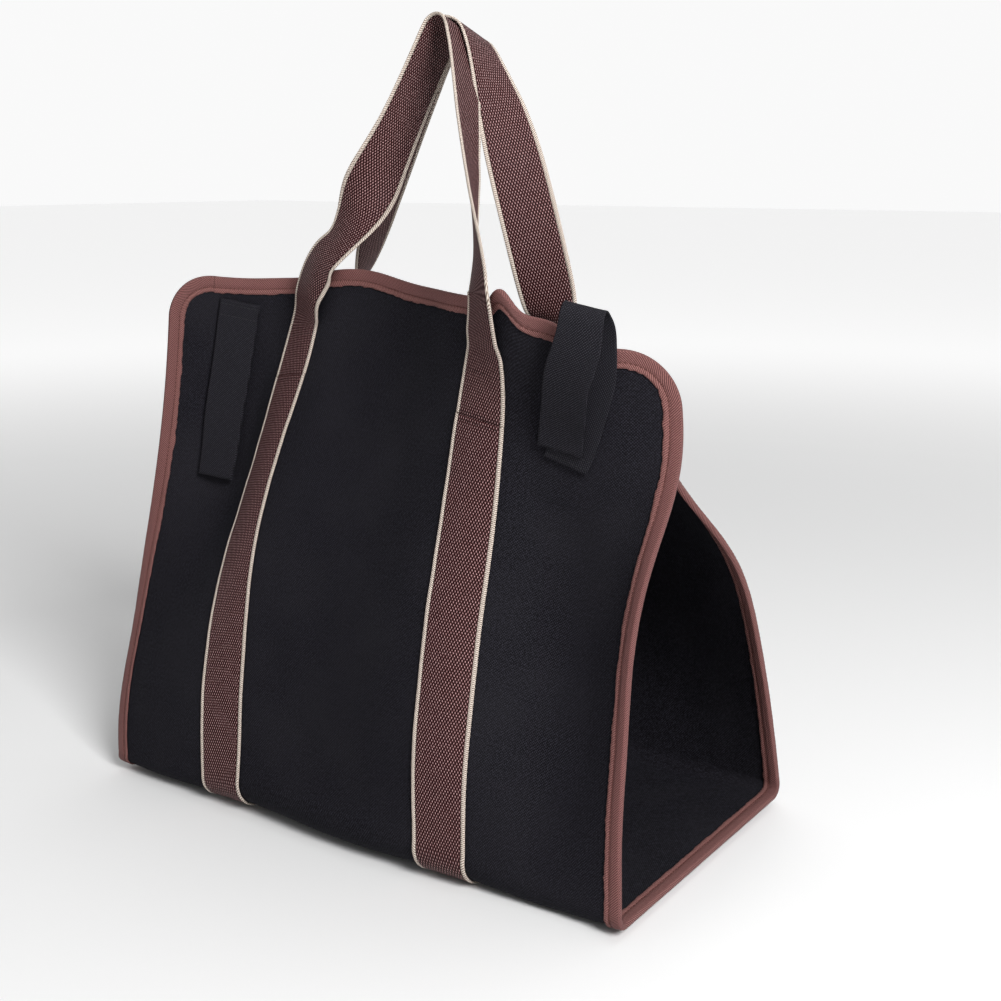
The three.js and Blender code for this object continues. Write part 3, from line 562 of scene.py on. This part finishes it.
def edge_distance(q, u):
    """distance in the cloth from its outline, with the rounded corners"""
    s = np.minimum(q, QG - q)
    a, b = CLOTH_W / 2 - np.abs(u), s
    inside = np.minimum(a, b)
    ca, cb = CORNER_R - a, CORNER_R - b
    corner = (ca > 0) & (cb > 0)
    return np.where(corner, CORNER_R - np.hypot(np.maximum(ca, 0), np.maximum(cb, 0)), inside)


def half_width(q, rim):
    """half width of the cloth at q, moved in by rim from its outline"""
    s = np.minimum(q, QG - q)
    r = CORNER_R - rim
    return np.where(s >= CORNER_R, CLOTH_W / 2 - rim,
                    CLOTH_W / 2 - rim - r + np.sqrt(np.maximum(0, r * r - (CORNER_R - s) ** 2)))


def ruck(q, u):
    """small waves of the cloth itself: puckers along the seams and faint creases"""
    d = edge_distance(q, u)
    per = np.where(np.minimum(q, QG - q) < CLOTH_W / 2 - np.abs(u), u, q)
    seam = 0.42 * np.sin(2 * math.pi * (per + 2.5 * noise1(per, 3, 23)) / 15.0) * (0.65 + 0.35 * noise1(per, 4, 40))
    w = smooth((d - 13.5) / 4) * np.exp(-np.maximum(0, d - 17) / 13.0)
    out = seam * w
    for k, c in enumerate((BAND_LEFT, BAND_RIGHT)):
        e = np.abs(u - c) - WEB_W / 2
        pk = 0.36 * np.sin(2 * math.pi * (q + 3 * noise1(q, 11 + k, 31)) / 17.0) * (0.6 + 0.4 * noise1(q, 15 + k, 60))
        out = out + pk * smooth((e - 1.0) / 5) * np.exp(-np.maximum(0, e - 6) / 12.0) * smooth((d - 13.5) / 8)
    broad = 1.9 * noise2(u, q * 0.3, 21, 38) + 0.6 * noise2(u + 300, q * 0.55, 22, 21)
    # the base is drawn tight under the load
    panel = 1 - 0.8 * smooth((q - QB + 45) / 40) * smooth((QE + 45 - q) / 40)
    out = out * (0.5 + 0.5 * panel)
    broad = broad * panel
    near_band = np.minimum(np.abs(u - BAND_LEFT), np.abs(u - BAND_RIGHT)) - WEB_W / 2
    out = out + broad * smooth((d - 14) / 26) * smooth((near_band - 1) / 22)
    tab = np.exp(-(((u + 177) / 24) ** 4)) * (q < 175) + np.exp(-(((u - 168) / 30) ** 4)) * (q < 110)
    return out * (1 - 0.85 * np.clip(tab, 0, 1))


def canvas_piece():
    qs = np.concatenate([[RIM, 3.5, 6, 8.5, 11, 13.3], np.arange(16, 34, 2.6), np.arange(34, QA, 3.55),
                         np.linspace(QA, QB, 8)[:-1], np.linspace(QB, QC, 13)[:-1],
                         np.linspace(QC, QD, 58)[:-1], np.linspace(QD, QE, 13)[:-1], np.linspace(QE, QF, 6)[:-1]])
    back = QG - np.concatenate([[RIM, 3.5, 6, 8.5, 11, 13.3], np.arange(16, 34, 2.6), np.arange(34, QA, 3.55)])[::-1]
    qs = np.concatenate([qs, [QF], back[back > QF + 1]])
    half = np.concatenate([np.arange(0, 196, 3.75), np.linspace(196, CLOTH_W / 2 - RIM, 13)])
    us = np.concatenate([-half[:0:-1], half])
    h = half_width(qs, RIM)
    k = 150.0
    U = np.where(np.abs(us)[None] <= k, us[None],
                 np.sign(us)[None] * (k + (np.abs(us)[None] - k) * (h[:, None] - k) / (CLOTH_W / 2 - RIM - k)))
    Q = np.broadcast_to(qs[:, None], U.shape)
    # the first and last rows follow the rim straight across
    f = ruck(Q, U)
    outer, inner = sheet_at(Q, U, f), sheet_at(Q, U, f - CLOTH_WALL)
    nr, nc = U.shape
    verts = np.concatenate([outer.reshape(-1, 3), inner.reshape(-1, 3)])
    n = nr * nc
    faces = [grid_faces(nr, nc), grid_faces(nr, nc, start=n, flip=True)]
    loop = np.concatenate([np.arange(nc), np.arange(1, nr) * nc + nc - 1,
                           (nr - 1) * nc + np.arange(nc - 2, -1, -1), np.arange(nr - 2, 0, -1) * nc])
    nxt = np.roll(loop, -1)
    faces.append(np.stack([loop, loop + n, nxt + n, nxt], -1))
    faces = outward(verts, np.concatenate(faces))
    w = np.stack([U, Q, np.zeros_like(U)], -1).reshape(-1, 3)
    weave = np.concatenate([w, w + np.array([0.5, 0.5, 1])])
    return make("canvas_cloth", verts, faces, weave, CANVAS)


canvas = canvas_piece()
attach(canvas, "root")
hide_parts("canvas_body")


# ------------------------------------------------------------------ edge tape
def outline(step):
    """stations round the cloth's outline: q, u on the line INNER inside the edge, direction outward, length along"""
    r = CORNER_R - INNER
    hw = CLOTH_W / 2 - INNER
    Q, U, DQ, DU = [], [], [], []

    def add(q, u, dq, du):
        Q.append(q), U.append(u), DQ.append(dq), DU.append(du)
    top = np.arange(-(hw - r), hw - r + 1e-6, step)
    arc = np.linspace(0, math.pi / 2, int(CORNER_R * math.pi / 2 / step) + 1)[1:]
    # front top edge, left to right
    n1 = len(top)
    for u in np.linspace(-(hw - r), hw - r, n1):
        add(INNER, u, -1, 0)
    for a in arc:
        add(CORNER_R - r * math.cos(a), hw - r + r * math.sin(a), -math.cos(a), math.sin(a))
    n2 = int((QG - 2 * CORNER_R) / step)
    for q in np.linspace(CORNER_R, QG - CORNER_R, n2)[1:-1]:
        add(q, hw, 0, 1)
    for a in arc[::-1]:
        add(QG - (CORNER_R - r * math.cos(a)), hw - r + r * math.sin(a), math.cos(a), math.sin(a))
    for u in np.linspace(hw - r, -(hw - r), n1):
        add(QG - INNER, u, 1, 0)
    for a in arc:
        add(QG - (CORNER_R - r * math.cos(a)), -(hw - r + r * math.sin(a)), math.cos(a), -math.sin(a))
    for q in np.linspace(QG - CORNER_R, CORNER_R, n2)[1:-1]:
        add(q, -hw, 0, -1)
    for a in arc[::-1]:
        add(CORNER_R - r * math.cos(a), -(hw - r + r * math.sin(a)), -math.cos(a), -math.sin(a))
    Q, U, DQ, DU = map(np.array, (Q, U, DQ, DU))
    mid = np.stack([Q + DQ * 6, U + DU * 6], -1)
    seg = np.linalg.norm(np.roll(mid, -1, 0) - mid, axis=1)
    along = np.concatenate([[0], np.cumsum(seg)[:-1]])
    return Q, U, DQ, DU, along, seg.sum()


STITCH_A = 3.9        # stitch line from the tape's inner edge
STITCH_P = 3.3        # stitch pitch


def tape_piece():
    Q, U, DQ, DU, al, total = outline(1.25)
    count = round(total / STITCH_P)
    pitch = total / count
    g, w, e, hgt = TAPE_GAP, TAPE_WALL, INNER - 0.15, CLOTH_WALL

    def face_rows(sign):
        # across positions from the inner lip to the fold, and the height over the cloth
        a = np.array([0.0, 0.35, 1.3, 2.4, 3.2, STITCH_A, 4.6, 5.6, 7.2, 8.8, 10.2, 11.2])
        z = g + w * np.array([0.45, 0.95, 1.15, 1.05, 0.72, 0.42, 0.72, 1.05, 1.12, 1.06, 0.98, 0.85])
        return a, z
    a, z = face_rows(1)
    pull = 0.5 + 0.5 * np.cos(2 * math.pi * al / pitch)            # 1 where the needle goes in
    scal = 0.45 * noise1(al, 31, 2.1) + 0.35 * noise1(al, 32, 5.5) + 0.5 * noise1(al, 33, 19)
    rings, weave = [], []

    def put(beyond, off, across, lip):
        rings.append(sheet_at(Q + DQ * beyond, U + DU * beyond, off))
        weave.append(np.stack([np.broadcast_to(across, al.shape), al, np.broadcast_to(lip, al.shape)], -1))
    puff = 0.10 * noise1(al, 35, 4.0) + 0.12 * np.cos(2 * math.pi * al / (pitch * 1.0) + math.pi)
    # outer face, lip to fold
    for k in range(len(a)):
        near = math.exp(-((a[k] - STITCH_A) / 1.6) ** 2)
        zz = z[k] + puff * (0.8 - near) - 0.22 * near * pull * w
        sc = scal * max(0.0, 1 - a[k] / 3.0)
        put(1.0 + a[k] - sc - 0.6 * (a[k] == 0) * 0, np.maximum(zz, g + 0.12), a[k], 1.0 - smooth((a[k] - 2.9) / 1.0))
    # round the fold
    for th in (60, 30, 0, -30, -60):
        r = math.radians(th)
        out = e - 1.05 + 1.05 * math.cos(r)
        off = -hgt / 2 + (hgt / 2 + g + 0.85 * w) * math.sin(r)
        put(out, off, 12.0 + (60 - th) * 0.03, 0.0)
    # inner face, fold to lip
    scal2 = 0.45 * noise1(al, 41, 2.3) + 0.4 * noise1(al, 42, 7.0)
    for k in range(len(a) - 1, -1, -1):
        near = math.exp(-((a[k] - STITCH_A) / 1.6) ** 2)
        zz = z[k] + puff * (0.8 - near) - 0.22 * near * pull * w
        sc = scal2 * max(0.0, 1 - a[k] / 3.0)
        put(1.0 + a[k] - sc, -hgt - np.maximum(zz, g + 0.12), 27.0 - a[k], 1.0 - smooth((a[k] - 2.9) / 1.0))
    # inside of the fold, back to the start (hidden against the cloth)
    for beyond, off in ((1.3, -hgt - g + 0.12), (6.0, -hgt - g + 0.15), (INNER - RIM + 0.25, -hgt - g + 0.2),
                        (INNER - RIM + 0.25, g - 0.2), (6.0, g - 0.15), (1.3, g - 0.12)):
        put(beyond, off, 6.0, 0.0)
    R = np.stack(rings, 1)
    W = np.stack(weave, 1)
    verts = R.reshape(-1, 3)
    faces = outward(verts, grid_faces(R.shape[0], R.shape[1], wrap_rows=True, wrap_cols=True))
    o = make("edge_tape", verts, faces, W.reshape(-1, 3), TAPE)
    return o, total, count


tape, tape_len, stitch_count = tape_piece()
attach(tape, "root")
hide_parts("edge_binding")


def stitches(name, mids, dirs, outs, length, radius, mat, sink=0.25):
    """short thread bars: mids, dirs along, outs out of the cloth (mm, working frame)"""
    mids, dirs, outs = map(np.asarray, (mids, dirs, outs))
    dirs, outs = unit(dirs), unit(outs)
    side = unit(np.cross(dirs, outs))
    t = np.array([-0.5, -0.42, -0.2, 0.2, 0.42, 0.5])
    lift = np.array([-1.2, -0.1, 0.5, 0.5, -0.1, -1.2]) * radius
    rad = np.array([0.55, 0.9, 1.0, 1.0, 0.9, 0.55]) * radius
    nk = 6
    ang = np.arange(nk) * 2 * math.pi / nk
    P = (mids[:, None, None] + dirs[:, None, None] * (t * length)[None, :, None, None]
         + outs[:, None, None] * (lift[None, :, None, None] + (np.sin(ang)[None, None] * rad[None, :, None])[..., None])
         + side[:, None, None] * (np.cos(ang)[None, None] * rad[None, :, None])[..., None])
    n, ns = len(mids), len(t)
    V = P.reshape(-1, 3)
    base = grid_faces(ns, nk, wrap_cols=True)
    F = (base[None] + (np.arange(n) * ns * nk)[:, None, None]).reshape(-1, 4)
    caps = []
    for s, fl in ((0, True), (ns - 1, False)):
        c = np.array([[0, 1, 2, 3], [0, 3, 4, 5]]) + s * nk
        caps.append(c[:, ::-1] if fl else c)
    C = (np.concatenate(caps)[None] + (np.arange(n) * ns * nk)[:, None, None]).reshape(-1, 4)
    F = np.concatenate([F, C])
    one = V[:ns * nk]
    fo = np.concatenate([base] + caps)
    chk = outward(one, fo)
    if not np.array_equal(chk[0], fo[0]):
        F = F[:, ::-1]
    W = np.broadcast_to(np.stack([t[None, :] * length + 0 * mids[:, :1], 0 * t[None] + np.arange(n)[:, None] * 1.0,
                                  0 * t[None] + 0 * mids[:, :1]], -1)[:, :, None], (n, ns, nk, 3)).reshape(-1, 3)
    return make(name, V, F, W, mat)


def tape_stitches():
    Q, U, DQ, DU, al, total = outline(0.5)
    count = stitch_count
    s = (np.arange(count) + 0.5) * total / count
    idx = np.clip(np.searchsorted(al, s), 1, len(al) - 1)
    f = (s - al[idx - 1]) / np.maximum(al[idx] - al[idx - 1], 1e-9)
    lerp = lambda A: A[idx - 1] * (1 - f) + A[idx] * f
    q, u, dq, du = lerp(Q), lerp(U), lerp(DQ), lerp(DU)
    nrm = np.hypot(dq, du)
    dq, du = dq / nrm, du / nrm
    b = 1.0 + STITCH_A
    mids, dirs, outs = [], [], []
    for sign, off in ((1, TAPE_GAP + 0.52 * TAPE_WALL), (-1, -CLOTH_WALL - TAPE_GAP - 0.52 * TAPE_WALL)):
        p = sheet_at(q + dq * b, u + du * b, off)
        ahead = sheet_at(q + dq * b + du * 0.8, u + du * b - dq * 0.8, off)
        o = sheet_at(q + dq * b, u + du * b, off + sign * 1.0)
        mids.append(p), dirs.append(ahead - p), outs.append(o - p)
    return stitches("tape_stitches", np.concatenate(mids), np.concatenate(dirs), np.concatenate(outs),
                    STITCH_P * 0.78, 0.30, THREAD_TAPE)


ts = tape_stitches()
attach(ts, "root")


# ------------------------------------------------------------------ webbing
# section of the webbing: places across from its middle (mm) and half thickness there; a flat body and a
# rounder cord along each edge
SX = np.concatenate([np.linspace(0, 16.1, 12), [16.7, 17.15, 17.6, 18.2, 18.8, 19.35, 19.8, 20.0]])
SX = np.concatenate([-SX[:0:-1], SX])


def half_thick(x):
    ax = np.abs(x)
    body = np.full_like(ax, 0.70)
    groove = 0.55
    bead = np.sqrt(np.maximum(0.0, 1.0 - ((ax - 18.55) / 1.45) ** 2)) * 0.98
    out = np.where(ax <= 16.2, body, np.where(ax < 17.1, groove, np.maximum(bead, 0.12)))
    return out


HT = half_thick(SX)


def strip_piece(name, mid, wdir_fn, y, mat, near_sign=1):
    """mid: stations x columns x 3 centre surface, wdir_fn: outward normals same shape, y: along (mm)"""
    n = wdir_fn
    top = mid + n * HT[None, :, None]
    low = mid - n * HT[None, :, None]
    ring = np.concatenate([top, low[:, ::-1]], 1)
    W1 = np.stack([np.broadcast_to(SX, mid.shape[:2]), np.broadcast_to(y[:, None], mid.shape[:2]),
                   np.zeros(mid.shape[:2])], -1)
    W2 = W1[:, ::-1].copy()
    W2[..., 1] += 0.8
    W2[..., 2] = 1
    ringW = np.concatenate([W1, W2], 1)
    v, f, w = tube_along(ring, ringW)
    return make(name, v, f, w, mat)


def strip_normals(mid):
    i = np.arange(mid.shape[0])
    j = np.arange(mid.shape[1])
    a = mid[np.minimum(len(i) - 1, i + 1)] - mid[np.maximum(0, i - 1)]
    c = mid[:, np.minimum(len(j) - 1, j + 1)] - mid[:, np.maximum(0, j - 1)]
    return unit(np.cross(c, a))


def band_off(s):
    return GAP + (TAPE_WALL + 4.5 * GAP) * smooth((32 - s) / 14)


def along_of(mid):
    c = mid[:, mid.shape[1] // 2]
    return np.concatenate([[0], np.cumsum(np.linalg.norm(np.diff(c, axis=0), axis=1))])


def band_piece(name, centre, slot_node):
    q = np.linspace(SEAM_V, QG - SEAM_V, 460)
    Qg, X = np.meshgrid(q, SX, indexing="ij")
    wav = 0.18 * noise2(X * 0.6, Qg, 451 + int(centre), 14) + 0.22 * (np.abs(X) / 20) ** 2 * noise1(Qg, 461 + int(centre), 17)
    off = GAP + WEB_WALL / 2 + 0.25 + np.maximum(-0.15, wav)
    mid = sheet_at(Qg, centre + X, off, STRAPS)
    n = strip_normals(mid)
    # set the normals out of the carrier
    ref = sheet_at(Qg, centre + X, off + 1, STRAPS) - mid
    if (n * ref).sum() < 0:
        n = -n
    o = strip_piece(name, mid, n, q - SEAM_V, WEB)
    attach(o, "root")
    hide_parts(slot_node)
    return o


band_l = band_piece("band_left_web", BAND_LEFT, "band_left")
band_r = band_piece("band_right_web", BAND_RIGHT, "band_right")

tilt = math.radians(HANG_TILT)
AXIS = np.array([0, math.cos(tilt), -math.sin(tilt)])
UP = np.array([0, math.sin(tilt), math.cos(tilt)])
SIDE = np.array([1.0, 0, 0])


def flat(w, d):
    return unit(w - d * (w * d).sum(-1, keepdims=True))


def bezier(p0, p1, p2, p3, t):
    t = t[:, None]
    p = (1 - t) ** 3 * p0 + 3 * (1 - t) ** 2 * t * p1 + 3 * (1 - t) * t * t * p2 + t ** 3 * p3
    d = 3 * (1 - t) ** 2 * (p1 - p0) + 6 * (1 - t) * t * (p2 - p1) + 3 * t * t * (p3 - p2)
    return p, unit(d)


def curl_columns(p, a, b, d, sign, share):
    """centre surface of the webbing: columns SX, half of it along a and half along b, turning smoothly between"""
    k = smooth((SX / 20.0 + 0.55) / 1.1)[None, :, None]
    # direction of the surface at each column, then the places by adding up
    dirs = unit(a[:, None] * (1 - k) + b[:, None] * k)
    dx = np.diff(SX)
    steps = (dirs[:, 1:] + dirs[:, :-1]) / 2 * dx[None, :, None] * share[:, None, None]
    c = np.concatenate([np.zeros_like(dirs[:, :1]), np.cumsum(steps, 1)], 1)
    c = c - c[:, len(SX) // 2][:, None]
    return p[:, None] + c


def leg(side, centre, slide, radius, name, end_sign):
    front = side == "f"
    leave, st, fin, bow, drift, rise = LEGS[name]
    s = np.concatenate([np.arange(SEAM_V - GAP, 34, -2.0), np.arange(34, -6.5, -1.3), [-7.0]])

    def rows(v):
        # above the stitching the strap is free of the sheet: it may drift along it and rise off it
        v = np.atleast_1d(np.asarray(v, float))
        loose = np.maximum(0, (44 - v) / 51)
        S = v[:, None] + (1.5 * drift * loose ** 0.5 / 51)[:, None] * SX[None] * smooth(loose * 3)[:, None]
        U = centre + (drift * loose ** 1.5)[:, None] + SX[None]
        # a drifting strap also lifts its leading edge
        off = ((band_off(v) + rise * smooth(loose * 1.2) + WEB_WALL / 2)[:, None]
               + (0.28 * drift * smooth(loose * 1.2))[:, None] * (SX[None] / 20 + 1) / 2)
        return sheet_at(S if front else QG - S, U, off, STRAPS)
    sewn = rows(s)
    m = len(SX) // 2
    start = sewn[-1, m]
    # direction as the CAD takes it, from the row at the rim to the last one
    d0 = unit(start - rows(1.5)[0, m])
    w0 = unit(sewn[-1, -1] - sewn[-1, 0])
    ang = math.radians(leave)
    cl = HANG + AXIS * slide - UP * HANG_R
    end = cl + SIDE * radius * math.cos(ang) + UP * radius * math.sin(ang)
    sg = 1 if math.cos(ang) < 0 else -1
    d1 = SIDE * sg * math.sin(ang) - UP * sg * math.cos(ang)
    reach = np.linalg.norm(end - start)
    w1 = AXIS * end_sign
    tab = np.array(TURNS[name], float)
    t = np.linspace(0, 1, 150)[1:]
    tt = t
    low, high, wide = (spline(tab[:, 0], tab[:, k], tt) for k in (1, 2, 3))
    p, d = bezier(start, start + d0 * reach * st + SIDE * bow, end - d1 * reach * fin, end, tt)
    lo, hi = np.radians(low)[:, None], np.radians(high)[:, None]
    a = flat(w0 * np.cos(lo) + w1 * np.sin(lo), d)
    b = flat(w0 * np.cos(hi) + w1 * np.sin(hi), d)
    free = curl_columns(p, a, b, d, 1, wide)
    return sewn, free, cl, w1, ang


def handle_piece(name, side, slide, layer, names, signs, node):
    radius = HANG_R + WEB_WALL / 2 + layer * (WEB_WALL + 1)
    ls, lf, lcl, lw1, lang = leg(side, BAND_LEFT, slide[0], radius, names[0], signs[0])
    rs, rf, rcl, rw1, rang = leg(side, BAND_RIGHT, slide[1], radius, names[1], signs[1])
    steps = 40
    i = np.arange(1, steps) / steps
    a = lang + (rang - lang) * i
    p = lcl * (1 - i)[:, None] + rcl * i[:, None] + SIDE * (radius * np.cos(a))[:, None] + UP * (radius * np.sin(a))[:, None]
    over = p[:, None] + lw1[None, None] * SX[None, :, None]
    right = np.concatenate([rs, rf])[::-1][:, ::-1]
    mid = np.concatenate([ls, lf, over, right])
    # soften the joins along the path, leaving the sewn ends where they are
    keep0, keep1 = len(ls) - 14, len(mid) - (len(rs) - 14)
    sm = mid.copy()
    for _ in range(14):
        sm[keep0:keep1] = (sm[keep0 - 1:keep1 - 1] + 2 * sm[keep0:keep1] + sm[keep0 + 1:keep1 + 1]) / 4
    if side == "f":
        # the left leg leaves the rim turned and drifting: eased over a longer stretch
        e0, e1 = len(ls) - 17, len(ls) + 34
        for _ in range(70):
            sm[e0:e1] = (sm[e0 - 1:e1 - 1] + 2 * sm[e0:e1] + sm[e0 + 1:e1 + 1]) / 4
    mid = sm
    y = along_of(mid)
    # small unevenness of a soft strap
    n = strip_normals(mid)
    wob = 0.25 * noise2(SX[None] * 0.5 + 0 * y[:, None], y[:, None] + 0 * SX[None], 71 + layer, 16)
    fr = smooth(np.minimum(y - 60, y[-1] - 60 - y) / 30)
    mid = mid + n * (wob * fr[:, None])[..., None]
    n = strip_normals(mid)
    o = strip_piece(name, mid, n, y, WEB)
    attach(o, "root")
    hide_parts(node)
    return mid, o


hf_mid, handle_f = handle_piece("handle_front_web", "f", SLIDE["f"], 0, ["front_left", "front_right"], [1, -1], "handle_front")
hb_mid, handle_b = handle_piece("handle_back_web", "b", SLIDE["b"], 1, ["back_left", "back_right"], [-1, 1], "handle_back")


# seam stitching where the handle ends meet the bands: rows across
def seam_stitches():
    mids, dirs, outs = [], [], []

    def row(qa, ua, qb, ub, off, pitch=3.0):
        n = max(2, int(round(math.hypot(qb - qa, ub - ua) / pitch)))
        t = (np.arange(n) + 0.5) / n
        q, u = qa + (qb - qa) * t, ua + (ub - ua) * t
        offs = off(q) if callable(off) else np.full_like(q, off)
        p = sheet_at(q, u, offs, STRAPS)
        e = 0.6 / max(1e-6, math.hypot(qb - qa, ub - ua))
        mids.append(p)
        dirs.append(sheet_at(q + (qb - qa) * e, u + (ub - ua) * e, offs, STRAPS) - p)
        outs.append(sheet_at(q, u, offs + 1, STRAPS) - p)
    for c in (BAND_LEFT, BAND_RIGHT):
        for back in (False, True):
            Qm = (lambda s: QG - s) if back else (lambda s: s)
            sew = lambda q, back=back: (band_off(QG - q if back else q) + WEB_WALL / 2 + 0.72)
            bnd = GAP + WEB_WALL / 2 + 0.25 + 0.72
            for s in (71.4, 44.0):
                row(Qm(s), c - 16, Qm(s), c + 16, sew)
            row(Qm(77.0), c - 16, Qm(77.0), c + 16, bnd)
    return stitches("strap_stitches", np.concatenate(mids), np.concatenate(dirs), np.concatenate(outs),
                    2.2, 0.20, THREAD_WEB)


ss = seam_stitches()
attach(ss, "root")


# ------------------------------------------------------------------ tabs
def tab_rows(path, wall, square, per=8):
    path = np.array(path, float)
    # finer stations by a spline through the path, keeping the CAD's rows
    t = np.concatenate([[0], np.cumsum(np.hypot(np.diff(path[:, 0]), np.diff(path[:, 1])) + np.abs(np.diff(path[:, 2])))])
    tf = np.concatenate([np.linspace(t[i], t[i + 1], per, endpoint=False) for i in range(len(t) - 1)] + [[t[-1]]])
    P = spline(t, path, tf)
    u, v, off, wide = P[:, 0], P[:, 1], P[:, 2], P[:, 3]
    pts = sheet_at(v, u, off + wall / 2)
    i = np.arange(len(u))
    d = unit(pts[np.minimum(len(u) - 1, i + 1)] - pts[np.maximum(0, i - 1)])
    ac = unit(sheet_at(v, u + 1, off) - sheet_at(v, u - 1, off))
    w = unit(ac - d * ((ac * d).sum(-1) * (1 if square else 0.5))[:, None])
    n = unit(np.cross(w, d))
    y = np.concatenate([[0], np.cumsum(np.linalg.norm(np.diff(pts, axis=0), axis=1))])
    return pts, w, n, wide, y, d


TX = np.concatenate([np.linspace(0, 13.6, 9), [14.3, 14.75, 15.0]])
TX = np.concatenate([-TX[:0:-1], TX])
TT = np.where(np.abs(TX) < 13.0, 1.0, np.where(np.abs(TX) < 14.5, 1.08, np.where(np.abs(TX) < 14.9, 0.75, 0.25)))


def tab_strip(name, pts, w, n, wide, y, shift, thick, lift=0.0, curve=0.0):
    c = pts[:, None] + w[:, None] * (TX[None] * wide[:, None])[..., None] + n[:, None] * shift
    c = c + n[:, None] * (curve * (np.abs(TX) / 15.0) ** 2)[None, :, None]
    wob = 0.16 * noise2(TX[None] + 0 * y[:, None], y[:, None] + 0 * TX[None], 81 + len(name), 9)
    c = c + n[:, None] * wob[..., None]
    top = c + n[:, None] * (TT * thick / 2)[None, :, None]
    low = c - n[:, None] * (TT * thick / 2)[None, :, None]
    ring = np.concatenate([top, low[:, ::-1]], 1)
    W1 = np.stack([np.broadcast_to(TX, c.shape[:2]), np.broadcast_to(y[:, None], c.shape[:2]), np.zeros(c.shape[:2])], -1)
    W2 = W1[:, ::-1] + np.array([0.4, 0.3, 1])
    v, f, ww = tube_along(ring, np.concatenate([W1, W2], 1))
    o = make(name, v, f, ww, TAB)
    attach(o, "root")
    return o


pts, w, n, wide, y, d = tab_rows(TAB_RIGHT, 1.6, False)
tab_r = tab_strip("tab_right_loop", pts, w, n, wide, y, 0.0, 1.35)
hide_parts("tab_right")
pl, wl, nl, widel, yl, dl = tab_rows(TAB_LEFT, 3.2, True)
# make the normals point out of the carrier
ref = sheet_at(np.array([60.0]), np.array([-177.0]), 2.0)[0] - sheet_at(np.array([60.0]), np.array([-177.0]), 0.0)[0]
sgn = 1.0 if (nl[len(nl) // 2] * ref).sum() > 0 else -1.0
tab_l1 = tab_strip("tab_left_under", pl, wl, nl, widel, yl, -0.85 * sgn, 1.25)
tab_l2 = tab_strip("tab_left_over", pl, wl, nl, widel, yl, 0.85 * sgn, 1.25)
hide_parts("tab_left")


def tab_stitches():
    mids, dirs, outs = [], [], []
    for (P, w_, n_, wide_, y_, d_, s0, s1, sign, h) in (
            (pl, wl, nl, widel, yl, dl, 3.0, 12.0, sgn, 0.85 + 0.68),
            (pts, w, n, wide, y, d, 3.0, 9.0, None, 0.70)):
        for at in (s0, s1):
            k = int(np.argmin(np.abs(y_ - at)))
            sg = sign
            if sg is None:
                o1 = sheet_at(np.array([78.0]), np.array([160.0]), 2.0)[0] - sheet_at(np.array([78.0]), np.array([160.0]), 0.0)[0]
                sg = 1.0 if (n_[k] * o1).sum() > 0 else -1.0
            xs = (np.arange(10) - 4.5) * 2.8
            mids.append(P[k] + w_[k] * xs[:, None] + n_[k] * h * sg)
            dirs.append(np.broadcast_to(w_[k], (10, 3)))
            outs.append(np.broadcast_to(n_[k] * sg, (10, 3)))
    return stitches("tab_stitches", np.concatenate(mids), np.concatenate(dirs), np.concatenate(outs),
                    2.1, 0.24, THREAD_TAB)


tst = tab_stitches()
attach(tst, "root")

# ------------------------------------------------------------------ floor and light
floor_z = -0.5512
me = bpy.data.meshes.new("floor")
me.from_pydata([(-16, -16, floor_z), (16, -16, floor_z), (16, 16, floor_z), (-16, 16, floor_z)], [], [(0, 1, 2, 3)])
floor = bpy.data.objects.new("floor", me)
scene.collection.objects.link(floor)
fm, ft, fb = new_mat("floor_pale", 0.9, 0.1)
fb.inputs["Base Color"].default_value = (0.80, 0.80, 0.80, 1)
# the floor stays as pale in the distance as it is near the carrier
fn = Net(ft)
geo = ft.nodes.new("ShaderNodeNewGeometry")
far = ft.nodes.new("ShaderNodeVectorMath")
far.operation = "LENGTH"
ft.links.new(geo.outputs["Position"], far.inputs[0])
fb.inputs["Emission Color"].default_value = (1, 1, 1, 1)
fn.put(fn.range(far.outputs["Value"], 0.7, 3.2, 0.0, 0.58), fb.inputs["Emission Strength"])
me.materials.append(fm)

world = bpy.data.worlds.new("studio")
scene.world = world
world.use_nodes = True
wn = Net(world.node_tree)
tc = world.node_tree.nodes.new("ShaderNodeTexCoord")
dv = world.node_tree.nodes.new("ShaderNodeVectorMath")
dv.operation = "DOT_PRODUCT"
world.node_tree.links.new(tc.outputs["Generated"], dv.inputs[0])
dv.inputs[1].default_value = (-0.58, 0.81, 0.0)
world.node_tree.nodes["Background"].inputs[0].default_value = (1.0, 1.0, 1.0, 1)
wn.put(wn.range(dv.outputs["Value"], 0.35, 0.8, 0.25, 0.95), world.node_tree.nodes["Background"].inputs[1])


def area_light(name, loc, target, size, power, color=(1, 1, 1)):
    d = bpy.data.lights.new(name, "AREA")
    d.shape = "SQUARE"
    d.size = size
    d.energy = power
    d.color = color
    o = bpy.data.objects.new(name, d)
    scene.collection.objects.link(o)
    o.location = loc
    o.rotation_euler = (Vector(target) - Vector(loc)).to_track_quat("-Z", "Y").to_euler()
    return o


area_light("key", (1.7, -0.9, 0.9), (0.05, 0, -0.3), 0.8, 64)
area_light("fill", (-1.2, -2.0, 0.5), (0, 0, -0.3), 1.6, 2.5)
area_light("top", (0.1, 0.5, 1.7), (0, 0, -0.2), 1.2, 10)
